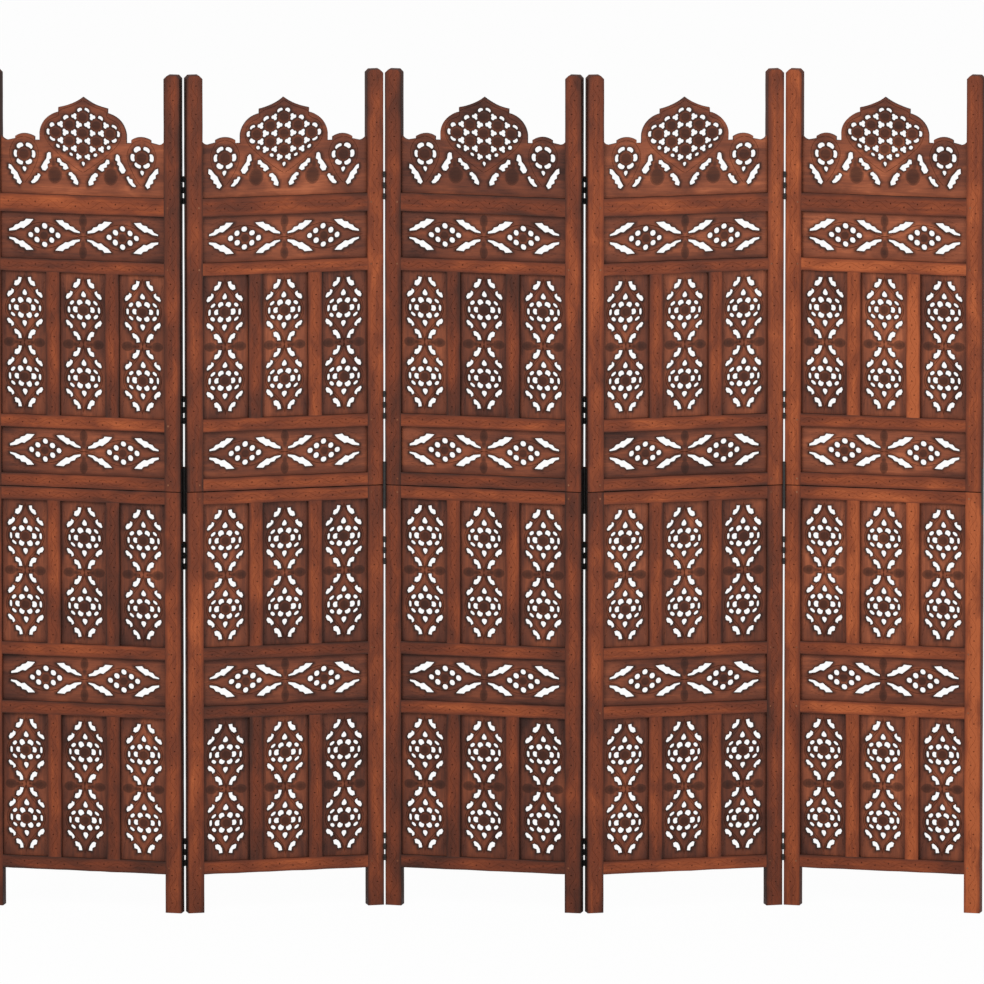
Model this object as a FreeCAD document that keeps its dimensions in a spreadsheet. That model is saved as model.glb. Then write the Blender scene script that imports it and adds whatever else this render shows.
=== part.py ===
import FreeCAD, Part

import os
import re
from math import acos, cos, pi, radians, sin

from FreeCAD import Placement, Rotation, Vector

# A five-leaf carved folding screen, in millimetres, +Z up. The origin is on the floor under the middle leaf.
# +X runs along the row of leaves and the carved front faces -Y. The leaves stand in a zigzag, as in use.

SIZES = {
    # Leaf frame, seen from the front
    "stile_width": 31.1,
    "muntin_width": 27.5,
    "panel_sight": 91,
    "tall_sight": 282,
    "wide_sight": 91,
    "rail_height": 25.2,
    "top_rail_height": 36,
    "leg_height": 76,
    "horn_height": 241.1,
    "horn_chamfer": 6.5,
    "seam_gap": 1.5,
    # Timber thickness and joinery
    "frame_thickness": 24,
    "panel_thickness": 8,
    "groove_depth": 6,
    "tongue_length": 5.5,
    "tenon_length": 15,
    "mortise_room": 0.5,
    "fit_clearance": 0.1,
    "peg_radius": 2,
    "peg_clearance": 0.02,
    # How the leaves stand
    "fold_angle": 13.6,
    "joint_gap": 2.8,
    # Hinges on the stile edges
    "hinge_height": 53,
    "hinge_below_top": 227,
    "hinge_above_seam": 157.5,
    "hinge_below_seam": 128,
    "hinge_above_floor": 117,
    "seam_hinge_height": 91,
    "plate_thickness": 1.2,
    "plate_depth": 18,
    "pin_offset": 3.4,
    "knuckle_radius": 3,
    "knuckle_block": 10,
    "knuckle_slack": 0.4,
    "pin_radius": 1.4,
    "pin_clearance": 0.05,
    "pin_head_radius": 2.2,
    "pin_head_height": 0.8,
    # Countersunk screws
    "screw_radius": 1.25,
    "screw_head_radius": 2.3,
    "screw_head_depth": 1,
    "screw_length": 14,
    "screw_clearance": 0.03,
    "hinge_screw_spread": 14,
    "seam_screw_inner": 15,
    "seam_screw_outer": 36,
    # Bare wood kept at the ends of the carving
    "tall_carving_margin": 6,
    "wide_carving_margin": 8,
}

# The carver's drawings, at the size they are drawn: each is fitted to its board by one scale
TALL_ROSETTE = {
    "pitch": 135,
    "width": 91,
    "petal_inner_radius": 12.4,
    "petal_outer_radius": 22.6,
    "petal_half_angle": 21,
    "side_cell": (29.7, 0),
    "side_cell_length": 12.7,
    "side_cell_width": 5.5,
    "corner_cell": (22.8, 12.7),
    "corner_cell_length": 8,
    "corner_cell_width": 6,
    "corner_cell_turn": 140,
    "drop": (0, 30.3),
    "drop_width": 12,
    "side_leaf": (29.5, 30),
    "end_leaf": (14.5, 51.3),
    "leaf_length": 22,
    "leaf_width": 8,
    "leaf_turn": 130,
}
WIDE_ROSETTE = {
    "pitch": 156,
    "height": 91,
    "hole_radius": 6.2,
    "top_hole": (0, 17.5),
    "side_hole": (27.2, 0),
    "corner_hole": (14.2, 9.8),
    "feather": (45, 20),
    "feather_length": 54,
    "feather_width": 10.5,
    "feather_turn": 153,
    "feather_back": 0.3,
}
CREST = {
    "side_run": 12,
    "side_height": 112.9,
    "side_hollow": (159, 106.5),
    "dip": (152, 103.6),
    "arch_foot": (136, 107),
    "arch_outer": (136, 111.8),
    "arch_top": (118, 117.6),
    "arch_inner": (97, 111.8),
    "valley_outer": (97, 105),
    "valley_inner": (87, 105),
    "dome_side": (87, 121),
    "dome_swell": (74.5, 148),
    "dome_shoulder": (49.6, 161.8),
    "step": (49.6, 170.7),
    "ogee_hollow": (24, 178.5),
    "apex": (0, 192.8),
    "lattice": (0, 122),
    "lattice_pitch": 31.5,
    "boss_radius": 12,
    "lobe_radius": 8,
    "rim_hole_radius": 4.4,
    "rim_hole_shift": 2.2,
    "lattice_drop": (0, 60),
    "lattice_drop_width": 9,
    "medallion": (118, 75.7),
    "medallion_inner_radius": 15,
    "medallion_outer_radius": 23,
    "medallion_half_angle": 21,
    "medallion_drop": (118, 44.7),
    "medallion_drop_width": 8,
}
# Leaf cuts of the crest: tip, root and full width
CREST_LEAVES = (
    ((153, 54), (128, 17.5), 8),
    ((107, 18.6), (86, 37), 9),
    ((87, 46.6), (65, 80), 10),
    ((53, 71), (29, 49), 9),
    ((29, 43), (8, 18.6), 9),
)
CREST_WIDTH = 2 * (CREST["dip"][0] + CREST["side_run"])
DROP_POINT = 0.62

# Formulas in plain size names, used wherever pieces meet
OPENING = "(3 * panel_sight + 2 * muntin_width)"
LEAF_WIDTH = f"({OPENING} + 2 * stile_width)"
GROOVE_WIDTH = "(panel_thickness + 2 * fit_clearance)"
COLUMN_PITCH = "(panel_sight + muntin_width)"
LOWER_TOP = "(leg_height + 4 * rail_height + 2 * tall_sight + wide_sight)"
UPPER_BASE = f"({LOWER_TOP} + seam_gap)"
CREST_BASE = f"({UPPER_BASE} + 3 * rail_height + 2 * wide_sight + tall_sight + top_rail_height)"
STILE_TOP = f"({CREST_BASE} + horn_height)"
CREST_SIDE_HEIGHT = f"({CREST['side_height']} * {OPENING} / {CREST_WIDTH})"
SEAM_MIDDLE = f"({LOWER_TOP} + seam_gap / 2)"
AXIS_TO_MIDDLE = "(pin_offset + frame_thickness / 2)"
HALF_PITCH = f"({LEAF_WIDTH} / 2 + joint_gap / 2)"
FOLD = "(fold_angle * 1 deg)"
LEAF_STEP = f"(2 * ({HALF_PITCH} * cos({FOLD}) + {AXIS_TO_MIDDLE} * sin({FOLD})))"
AXIS_DEPTH = f"({AXIS_TO_MIDDLE} * cos({FOLD}) - {HALF_PITCH} * sin({FOLD}))"
HINGE_MIDDLES = (
    "hinge_above_floor",
    f"({LOWER_TOP} - hinge_below_seam)",
    f"({UPPER_BASE} + hinge_above_seam)",
    f"({STILE_TOP} - hinge_below_top)",
)

# Courses of each half of a leaf, from the bottom up
COURSES = {
    "lower": ("rail", "tall", "rail", "wide", "rail", "tall", "rail"),
    "upper": ("rail", "wide", "rail", "tall", "rail", "wide", "top_rail"),
}
COURSE_HEIGHT = {
    "rail": "rail_height",
    "top_rail": "top_rail_height",
    "tall": "tall_sight",
    "wide": "wide_sight",
}
HALF_START = {"lower": "leg_height", "upper": UPPER_BASE}
HALF_BOTTOM = {"lower": "0", "upper": UPPER_BASE}
HALF_TOP = {"lower": LOWER_TOP, "upper": STILE_TOP}

doc = FreeCAD.newDocument("folding_screen")
sheet = doc.addObject("Spreadsheet::Sheet", "sizes")
for row, (alias, number) in enumerate(SIZES.items(), start=1):
    sheet.set(f"A{row}", alias)
    sheet.set(f"B{row}", str(number))
    sheet.setAlias(f"B{row}", alias)
doc.recompute()


def rule(formula):
    """Turn a formula in plain size names into an expression that reads the sheet."""

    def to_cell(word):
        return "sizes." + word[0] if word[0] in SIZES else word[0]

    return re.sub(r"[a-z_]+", to_cell, formula)


def value(formula):
    """The number that a formula has now, for outlines drawn in code."""
    return float(sheet.evalExpression(rule(formula)))


def put(piece, x="0", y="0", z="0", turn=None):
    """Bind a piece's place to the sheet, after an optional fixed turn."""
    if turn:
        piece.Placement = Placement(Vector(), turn)
    for axis, formula in zip("xyz", (x, y, z)):
        piece.setExpression(f"Placement.Base.{axis}", rule(formula))
    return piece


def box(name, length, width, height, x, y, z, turn=None):
    solid = doc.addObject("Part::Box", name)
    solid.setExpression("Length", rule(length))
    solid.setExpression("Width", rule(width))
    solid.setExpression("Height", rule(height))
    return put(solid, x, y, z, turn)


def cylinder(name, radius, height, x, y, z, turn=None):
    solid = doc.addObject("Part::Cylinder", name)
    solid.setExpression("Radius", rule(radius))
    solid.setExpression("Height", rule(height))
    return put(solid, x, y, z, turn)


def cone(name, bottom, top, height, x, y, z, turn=None):
    solid = doc.addObject("Part::Cone", name)
    solid.setExpression("Radius1", rule(bottom))
    solid.setExpression("Radius2", rule(top))
    solid.setExpression("Height", rule(height))
    return put(solid, x, y, z, turn)


def fuse(name, pieces):
    joined = doc.addObject("Part::MultiFuse", name)
    joined.Shapes = pieces
    joined.Refine = True
    return joined


def cut(name, base, tools):
    result = doc.addObject("Part::Cut", name)
    result.Base = base
    result.Tool = fuse(f"{name}_cuts", tools) if len(tools) > 1 else tools[0]
    return result


TO_PLUS_X = Rotation(Vector(0, 1, 0), 90)
TO_MINUS_X = Rotation(Vector(0, 1, 0), -90)
TO_PLUS_Y = Rotation(Vector(1, 0, 0), -90)


def rails_of(half):
    """Each rail of a half as its number, its bottom edge and its height."""
    level = HALF_START[half]
    rails = []
    for course in COURSES[half]:
        if course.endswith("rail"):
            rails.append((len(rails), level, COURSE_HEIGHT[course]))
        level = f"({level} + {COURSE_HEIGHT[course]})"
    return rails


def rows_of(half, kind):
    """The bottom edge of each row of panels of one kind."""
    level = HALF_START[half]
    rows = []
    for course in COURSES[half]:
        if course == kind:
            rows.append(level)
        level = f"({level} + {COURSE_HEIGHT[course]})"
    return rows


def screw_levels(half, hinged):
    """Heights of the edge screws in one half of a stile: hinge plates, then the plate over the seam."""
    middles = HINGE_MIDDLES[:2] if half == "lower" else HINGE_MIDDLES[2:]
    levels = []
    if hinged:
        for middle in middles:
            levels += [f"({middle} - hinge_screw_spread)", f"({middle} + hinge_screw_spread)"]
    sign = "-" if half == "lower" else "+"
    levels += [f"({SEAM_MIDDLE} {sign} seam_screw_inner)", f"({SEAM_MIDDLE} {sign} seam_screw_outer)"]
    return levels


def corner_wedge(name, x, slope):
    """A square prism that takes one top corner off a stile at 45 degrees."""
    side = "(horn_chamfer * sqrt(2))"
    level = STILE_TOP if slope > 0 else f"({STILE_TOP} - horn_chamfer)"
    turn = Rotation(Vector(0, 1, 0), 45 * slope)
    return box(name, side, "frame_thickness", side, x, "-frame_thickness / 2", level, turn)


def stile(side, half, hinged):
    """One upright of a leaf with its groove, mortises and holes. Side is -1 at the left, 1 at the right."""
    name = f"{half}_{'left' if side < 0 else 'right'}_{'hinged' if hinged else 'outer'}_stile"
    outer = f"({side} * {LEAF_WIDTH} / 2)"
    inner = f"({side} * {OPENING} / 2)"
    left = outer if side < 0 else inner
    height = f"{HALF_TOP[half]} - {HALF_BOTTOM[half]}"
    blank = box(f"{name}_blank", "stile_width", "frame_thickness", height, left, "-frame_thickness / 2",
                HALF_BOTTOM[half])
    groove_start = f"({HALF_START[half]} + groove_depth)"
    groove_end = {
        "lower": f"({LOWER_TOP} - groove_depth)",
        "upper": f"({CREST_BASE} + {CREST_SIDE_HEIGHT} + mortise_room)",
    }[half]
    groove_x = inner if side > 0 else f"({inner} - groove_depth)"
    tools = [box(f"{name}_groove", "groove_depth", GROOVE_WIDTH, f"{groove_end} - {groove_start}", groove_x,
                 f"-{GROOVE_WIDTH} / 2", groove_start)]
    mortise_depth = "(tenon_length + mortise_room)"
    mortise_x = inner if side > 0 else f"({inner} - {mortise_depth})"
    for count, level, rail_height in rails_of(half):
        tools.append(box(f"{name}_mortise_{count}", mortise_depth, GROOVE_WIDTH,
                         f"{rail_height} - 2 * groove_depth + 2 * fit_clearance", mortise_x,
                         f"-{GROOVE_WIDTH} / 2", f"{level} + groove_depth - fit_clearance"))
        tools.append(peg(f"{name}_peg_hole_{count}", side, level, rail_height, "peg_radius + peg_clearance"))
    for count, level in enumerate(screw_levels(half, hinged)):
        tools.append(cylinder(f"{name}_screw_hole_{count}", "screw_radius + screw_clearance",
                              "screw_length - plate_thickness + mortise_room", outer, "0", level,
                              TO_PLUS_X if side < 0 else TO_MINUS_X))
    if half == "upper":
        right = inner if side < 0 else outer
        tools.append(corner_wedge(f"{name}_left_wedge", left, -1))
        tools.append(corner_wedge(f"{name}_right_wedge", f"({right} - horn_chamfer)", 1))
    return cut(name, blank, tools)


def peg(name, side, level, rail_height, radius):
    """A round peg, or its hole, through a stile and the tenon in it."""
    return cylinder(name, radius, "frame_thickness", f"{side} * ({OPENING} / 2 + tenon_length / 2)",
                    "-frame_thickness / 2", f"{level} + {rail_height} / 2", TO_PLUS_Y)


def rail(half, count, level, height):
    """A cross rail: its tenons run into the stiles and its grooves take the panels above and below."""
    name = f"{half}_rail_{count}"
    body = box(f"{name}_blank", OPENING, "frame_thickness", height, f"-{OPENING} / 2", "-frame_thickness / 2",
               level)
    tenon = box(f"{name}_tenon", f"{OPENING} + 2 * tenon_length", "panel_thickness",
                f"{height} - 2 * groove_depth", f"-{OPENING} / 2 - tenon_length", "-panel_thickness / 2",
                f"{level} + groove_depth")
    last = half == "lower" and count == len(rails_of(half)) - 1
    grooves = []
    if count > 0:
        grooves.append(level)
    if not last:
        grooves.append(f"{level} + {height} - groove_depth")
    tools = []
    for number, groove_level in enumerate(grooves):
        tools.append(box(f"{name}_groove_{number}", OPENING, GROOVE_WIDTH, "groove_depth", f"-{OPENING} / 2",
                         f"-{GROOVE_WIDTH} / 2", groove_level))
    for side in (-1, 1):
        tools.append(peg(f"{name}_peg_hole_{side + 1}", side, level, height, "peg_radius + peg_clearance"))
    return cut(name, fuse(f"{name}_timber", [body, tenon]), tools)


def muntin(name, x, level):
    """A short upright between two tall panels, with a stub at each end that sits in the rails' grooves."""
    body = box(f"{name}_blank", "muntin_width", "frame_thickness", "tall_sight", f"{x} - muntin_width / 2",
               "-frame_thickness / 2", level)
    stub = box(f"{name}_stub", "muntin_width - 2 * groove_depth", "panel_thickness",
               "tall_sight + 2 * tongue_length", f"{x} - muntin_width / 2 + groove_depth",
               "-panel_thickness / 2", f"{level} - tongue_length")
    tools = []
    for number, edge in enumerate((f"{x} - muntin_width / 2", f"{x} + muntin_width / 2 - groove_depth")):
        tools.append(box(f"{name}_groove_{number}", "groove_depth", GROOVE_WIDTH, "tall_sight", edge,
                         f"-{GROOVE_WIDTH} / 2", level))
    return cut(name, fuse(f"{name}_timber", [body, stub]), tools)


# Outlines of the pierced boards, drawn in the plane of the board: x across, z up


def spot(x, z):
    return Vector(x, 0, z)


def turned(length, degrees):
    """A step of this length in a direction measured from +x towards +z."""
    return spot(length * cos(radians(degrees)), length * sin(radians(degrees)))


def closed(*edges):
    return Part.Wire([edge.toShape() for edge in edges])


def polygon(points):
    return Part.makePolygon(points + points[:1])


def round_hole(middle, radius):
    return closed(Part.Circle(middle, Vector(0, -1, 0), radius))


def oval_hole(middle, length, width, degrees):
    """An ellipse whose longer axis points in the given direction."""
    far = middle + turned(length / 2, degrees)
    near = middle + turned(width / 2, degrees + 90)
    return closed(Part.Ellipse(far, near, middle))


def ring_hole(middle, inner, outer, degrees, half_angle):
    """A cut between two radii round a boss, open over twice the half angle."""
    start, end = degrees - half_angle, degrees + half_angle
    corners = [middle + turned(radius, angle) for radius, angle in
               ((inner, start), (outer, start), (outer, end), (inner, end))]
    return closed(
        Part.LineSegment(corners[0], corners[1]),
        Part.Arc(corners[1], middle + turned(outer, degrees), corners[2]),
        Part.LineSegment(corners[2], corners[3]),
        Part.Arc(corners[3], middle + turned(inner, degrees), corners[0]),
    )


def leaf_hole(tip, root, full, lean=0.5):
    """A pointed leaf between two points. Lean is the share of its width on the left side."""
    along = root - tip
    across = spot(-along.z, along.x).normalize()
    middle = (tip + root) / 2
    return closed(
        Part.Arc(tip, middle + across * full * lean, root),
        Part.Arc(root, middle - across * full * (1 - lean), tip),
    )


def drop_hole(middle, width, degrees):
    """A drop: a half circle closed by two straight sides to a point."""
    radius = width / 2
    left = middle + turned(radius, degrees + 90)
    right = middle + turned(radius, degrees - 90)
    point = middle + turned(width * DROP_POINT, degrees)
    return closed(
        Part.Arc(left, middle - turned(radius, degrees), right),
        Part.LineSegment(right, point),
        Part.LineSegment(point, left),
    )


def lattice_hole(middle, boss_step, boss_radius, reach, degrees):
    """A three-lobed cut between three bosses that stand one step away, the first in the given direction."""
    spread = acos((boss_step ** 2 + reach ** 2 - boss_radius ** 2) / (2 * boss_step * reach)) * 180 / pi
    edges = []
    for boss in (degrees, degrees + 120, degrees + 240):
        start, end = middle + turned(reach, boss - spread), middle + turned(reach, boss + spread)
        following = middle + turned(reach, boss + 120 - spread)
        edges.append(Part.Arc(start, middle + turned(boss_step - boss_radius, boss), end))
        edges.append(Part.Arc(end, middle + turned(reach, boss + 60), following))
    return closed(*edges)


def board(name, outline, holes):
    """A flat face with holes, as the outline that each board of its kind is extruded from."""
    face = doc.addObject("Part::Feature", name)
    face.Shape = Part.makeFace(Part.makeCompound([outline] + holes), "Part::FaceMakerBullseye")
    return face


def sawn(name, outline, x, z):
    """A board of the panels' thickness, sawn to an outline and put in its place in the leaf."""
    plank = doc.addObject("Part::Extrusion", name)
    plank.Base = outline
    plank.DirMode = "Custom"
    plank.Dir = Vector(0, 1, 0)
    plank.Solid = True
    plank.Symmetric = True
    plank.setExpression("LengthFwd", rule("panel_thickness"))
    return put(plank, x, "0", z)


def plain_outline(width, height):
    half_width, half_height = width / 2, height / 2
    return polygon([spot(-half_width, -half_height), spot(half_width, -half_height),
                    spot(half_width, half_height), spot(-half_width, half_height)])


QUADRANTS = ((1, 1), (-1, 1), (-1, -1), (1, -1))


class Drawing:
    """One of the carver's drawings at a scale, set out about a middle point."""

    def __init__(self, sizes, middle, scale):
        self.sizes = sizes
        self.middle = middle
        self.scale = scale

    def size(self, name):
        return self.sizes[name] * self.scale

    def at(self, place, sign_x=1, sign_z=1):
        """A drawn point, by name or by its two numbers, mirrored if asked."""
        x, z = self.sizes[place] if isinstance(place, str) else place
        return self.middle + spot(sign_x * x * self.scale, sign_z * z * self.scale)

    def leaf(self, place, length, width, turn, signs, back=0.5):
        """A pointed leaf centred on a drawn point, turned from +x and mirrored into a quadrant."""
        x, z = self.sizes[place]
        reach = turned(self.sizes[length] / 2, self.sizes[turn])
        tip = self.at((x + reach.x, z + reach.z), *signs)
        root = self.at((x - reach.x, z - reach.z), *signs)
        mirrored = signs[0] * signs[1] < 0
        return leaf_hole(tip, root, self.size(width), 1 - back if mirrored else back)


def tall_rosette_holes(middle, scale):
    """Six petals round a boss, the small cells outside them and the leaf cuts of the pointed oval."""
    art = Drawing(TALL_ROSETTE, middle, scale)
    holes = []
    for petal in range(6):
        holes.append(ring_hole(middle, art.size("petal_inner_radius"), art.size("petal_outer_radius"),
                               60 * petal, TALL_ROSETTE["petal_half_angle"]))
    for sign in (-1, 1):
        holes.append(oval_hole(art.at("side_cell", sign), art.size("side_cell_length"),
                               art.size("side_cell_width"), 90))
        holes.append(drop_hole(art.at("drop", 1, sign), art.size("drop_width"), 90 * sign))
    for signs in QUADRANTS:
        holes.append(oval_hole(art.at("corner_cell", *signs), art.size("corner_cell_length"),
                               art.size("corner_cell_width"),
                               signs[0] * signs[1] * TALL_ROSETTE["corner_cell_turn"]))
        for leaf in ("side_leaf", "end_leaf"):
            holes.append(art.leaf(leaf, "leaf_length", "leaf_width", "leaf_turn", signs))
    return holes


def wide_rosette_holes(middle, scale):
    """Eight round holes about a boss and the four feathers of the eye shape round it."""
    art = Drawing(WIDE_ROSETTE, middle, scale)
    places = [art.at("top_hole", 1, sign) for sign in (-1, 1)]
    places += [art.at("side_hole", sign) for sign in (-1, 1)]
    places += [art.at("corner_hole", *signs) for signs in QUADRANTS]
    holes = [round_hole(place, art.size("hole_radius")) for place in places]
    for signs in QUADRANTS:
        holes.append(art.leaf("feather", "feather_length", "feather_width", "feather_turn", signs,
                              WIDE_ROSETTE["feather_back"]))
    return holes


def tall_outline():
    tongue = 2 * value("tongue_length")
    pitch = value("(tall_sight - 2 * tall_carving_margin) / 2")
    scale = min(pitch / TALL_ROSETTE["pitch"], value("panel_sight") / TALL_ROSETTE["width"])
    holes = []
    for sign in (-1, 1):
        holes += tall_rosette_holes(spot(0, sign * pitch / 2), scale)
    return board("tall_panel_outline",
                 plain_outline(value("panel_sight") + tongue, value("tall_sight") + tongue), holes)


def wide_outline():
    tongue = 2 * value("tongue_length")
    pitch = value(f"({OPENING} - 2 * wide_carving_margin) / 2")
    scale = min(pitch / WIDE_ROSETTE["pitch"], value("wide_sight") / WIDE_ROSETTE["height"])
    holes = []
    for sign in (-1, 1):
        holes += wide_rosette_holes(spot(sign * pitch / 2, 0), scale)
    return board("wide_panel_outline", plain_outline(value(OPENING) + tongue, value("wide_sight") + tongue),
                 holes)


def lattice_bosses(pitch):
    """Nine bosses in a diamond of equal triangles: one, two, three, two and one to a row."""
    bosses = [spot(0, 0)]
    column = pitch * cos(radians(30))
    for sign in (-1, 1):
        bosses += [spot(0, sign * pitch), spot(sign * 2 * column, 0)]
        bosses += [spot(sign * column, pitch / 2), spot(sign * column, -pitch / 2)]
    return bosses


def lattice_holes(art):
    """Cuts between the bosses: three-lobed ones inside the diamond, smaller round ones along its rim."""
    middle = art.at("lattice")
    pitch = art.size("lattice_pitch")
    step = pitch / (2 * cos(radians(30)))
    places = {}
    for boss in lattice_bosses(pitch):
        for direction in range(0, 360, 60):
            place = boss + turned(step, direction)
            places.setdefault((round(place.x, 2), round(place.z, 2)), []).append(direction + 180)
    holes = []
    for (x, z), to_bosses in places.items():
        place = middle + spot(x, z)
        if len(to_bosses) == 3:
            holes.append(lattice_hole(place, step, art.size("boss_radius"), art.size("lobe_radius"),
                                      to_bosses[0]))
        else:
            inward = spot(-x, -z).normalize() * art.size("rim_hole_shift")
            holes.append(round_hole(place + inward, art.size("rim_hole_radius")))
    return holes


def crest_half(art, sign, tongue):
    """One side of the crest's edge, from its foot in the top rail up to the point."""
    corner = art.at((CREST_WIDTH / 2, CREST["side_height"]), sign)
    outer = corner + spot(sign * tongue, 0)
    foot = spot(outer.x, -tongue)
    points = {name: art.at(name, sign) for name, place in CREST.items() if isinstance(place, tuple)}
    straight = ("dip", "arch_foot", "arch_outer"), ("arch_inner", "valley_outer", "valley_inner", "dome_side")
    edges = [Part.LineSegment(foot, outer), Part.LineSegment(outer, corner)]
    edges.append(Part.Arc(corner, points["side_hollow"], points["dip"]))
    for names in straight + (("dome_shoulder", "step"),):
        for near, far in zip(names, names[1:]):
            edges.append(Part.LineSegment(points[near], points[far]))
    for near, middle, far in (
        ("arch_outer", "arch_top", "arch_inner"),
        ("dome_side", "dome_swell", "dome_shoulder"),
        ("step", "ogee_hollow", "apex"),
    ):
        edges.append(Part.Arc(points[near], points[middle], points[far]))
    return foot, [edge.toShape() for edge in edges]


def crest_outline():
    """The crest: a domed middle with an ogee point between two low arched shoulders."""
    art = Drawing(CREST, spot(0, 0), value(OPENING) / CREST_WIDTH)
    tongue = value("tongue_length")
    left_foot, left_edges = crest_half(art, -1, tongue)
    right_foot, right_edges = crest_half(art, 1, tongue)
    sill = Part.LineSegment(left_foot, right_foot).toShape()
    outline = Part.Wire(Part.__sortEdges__(left_edges + right_edges + [sill]))
    holes = lattice_holes(art)
    holes.append(drop_hole(art.at("lattice_drop"), art.size("lattice_drop_width"), 270))
    for sign in (-1, 1):
        for direction in range(0, 360, 60):
            holes.append(ring_hole(art.at("medallion", sign), art.size("medallion_inner_radius"),
                                   art.size("medallion_outer_radius"), direction,
                                   CREST["medallion_half_angle"]))
        holes.append(drop_hole(art.at("medallion_drop", sign), art.size("medallion_drop_width"), 270))
        for tip, root, width in CREST_LEAVES:
            holes.append(leaf_hole(art.at(tip, sign), art.at(root, sign), width * art.scale))
    return board("crest_outline", outline, holes)


# Hinges, each drawn round its own pin axis, with the wood on the +Y side


def small_hinge_knuckles(middle, side):
    """Three short pairs of knuckles: the lower of each pair is on the -x plate, the upper on the +x plate."""
    lug = "((knuckle_block - knuckle_slack) / 2)"
    shift = "0" if side < 0 else f"({lug} + knuckle_slack)"
    return [(f"({base} + {shift})", lug) for base in block_bottoms(middle)]


def block_bottoms(middle):
    return [f"({middle} + {place} * (hinge_height - knuckle_block) / 2 - knuckle_block / 2)"
            for place in ("(-1)", "0", "1")]


def seam_hinge_knuckles(side):
    """Five knuckles that close the whole barrel: three on the -x plate, two on the +x plate."""
    lug = "((seam_hinge_height - 4 * knuckle_slack) / 5)"
    numbers = (0, 2, 4) if side < 0 else (1, 3)
    return [(f"({SEAM_MIDDLE} - seam_hinge_height / 2 + {number} * ({lug} + knuckle_slack))", lug)
            for number in numbers]


def screw_seat(name, x, y, level, turn):
    """The cone that a countersunk head fills in a plate, and the hole below it."""
    taper = cone(f"{name}_taper", "screw_head_radius + screw_clearance", "screw_radius + screw_clearance",
                 "screw_head_depth", x, y, level, turn)
    bore = cylinder(f"{name}_bore", "screw_radius + screw_clearance", "plate_thickness", x, y, level, turn)
    return [taper, bore]


def hinge_plate(name, side, middle, height, knuckles, screws):
    """One plate with its knuckles: side -1 lies on the wood at -x, side 1 on the wood at +x."""
    left = "(-joint_gap / 2)" if side < 0 else "(joint_gap / 2 - plate_thickness)"
    pieces = [box(f"{name}_sheet", "plate_thickness", "plate_depth", height, left, "pin_offset",
                  f"{middle} - {height} / 2")]
    for number, (level, lug) in enumerate(knuckles):
        pieces.append(box(f"{name}_tab_{number}", "plate_thickness", "pin_offset", lug, left, "0", level))
        pieces.append(cylinder(f"{name}_knuckle_{number}", "knuckle_radius", lug, "0", "0", level))
    tools = [cylinder(f"{name}_bore", "pin_radius + pin_clearance", height, "0", "0",
                      f"{middle} - {height} / 2")]
    face = f"({side} * (joint_gap / 2 - plate_thickness))"
    for number, level in enumerate(screws):
        tools += screw_seat(f"{name}_seat_{number}", face, AXIS_TO_MIDDLE, level,
                            TO_MINUS_X if side < 0 else TO_PLUS_X)
    return cut(name, fuse(f"{name}_metal", pieces), tools)


def pin(name, level, length):
    """A plain pin with a flat head at each end, just clear of the knuckles."""
    reach = "(pin_clearance + pin_head_height)"
    return fuse(name, [
        cylinder(f"{name}_shank", "pin_radius", f"{length} + 2 * {reach}", "0", "0", f"{level} - {reach}"),
        cylinder(f"{name}_foot", "pin_head_radius", "pin_head_height", "0", "0", f"{level} - {reach}"),
        cylinder(f"{name}_head", "pin_head_radius", "pin_head_height", "0", "0",
                 f"{level} + {length} + pin_clearance"),
    ])


def screw(name, side, level):
    """A countersunk screw, driven into a stile's outer edge through a plate."""
    start = f"{side} * ({LEAF_WIDTH} / 2 + plate_thickness)"
    turn = TO_PLUS_X if side < 0 else TO_MINUS_X
    head = cone(f"{name}_head", "screw_head_radius", "screw_radius", "screw_head_depth", start, "0", level,
                turn)
    shank = cylinder(f"{name}_shank", "screw_radius", "screw_length", start, "0", level, turn)
    return fuse(name, [head, shank])


def strap(side):
    """A plain strap over the seam, on the free edge of an end leaf."""
    name = f"{'left' if side < 0 else 'right'}_strap"
    outer = f"({side} * {LEAF_WIDTH} / 2)"
    left = f"({outer} - plate_thickness)" if side < 0 else outer
    plate = box(f"{name}_sheet", "plate_thickness", "plate_depth", "seam_hinge_height", left,
                "-plate_depth / 2", f"{SEAM_MIDDLE} - seam_hinge_height / 2")
    face = f"{side} * ({LEAF_WIDTH} / 2 + plate_thickness)"
    tools = []
    for half in COURSES:
        for number, level in enumerate(screw_levels(half, False)):
            tools += screw_seat(f"{name}_{half}_seat_{number}", face, "0", level,
                                TO_PLUS_X if side < 0 else TO_MINUS_X)
    return cut(name, plate, tools)


# Pieces of one leaf, in the leaf's own frame

stiles = {}
screws = {}
for hinged in (True, False):
    for side in (-1, 1):
        driven = []
        for half in COURSES:
            stiles[half, side, hinged] = stile(side, half, hinged)
            for number, level in enumerate(screw_levels(half, hinged)):
                driven.append(screw(f"{half}_screw_{side + 1}_{int(hinged)}_{number}", side, level))
        screws[side, hinged] = driven

rails = []
pegs = []
for half in COURSES:
    for count, level, height in rails_of(half):
        rails.append(rail(half, count, level, height))
        for side in (-1, 1):
            pegs.append(peg(f"{half}_peg_{count}_{side + 1}", side, level, height, "peg_radius"))

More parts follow.
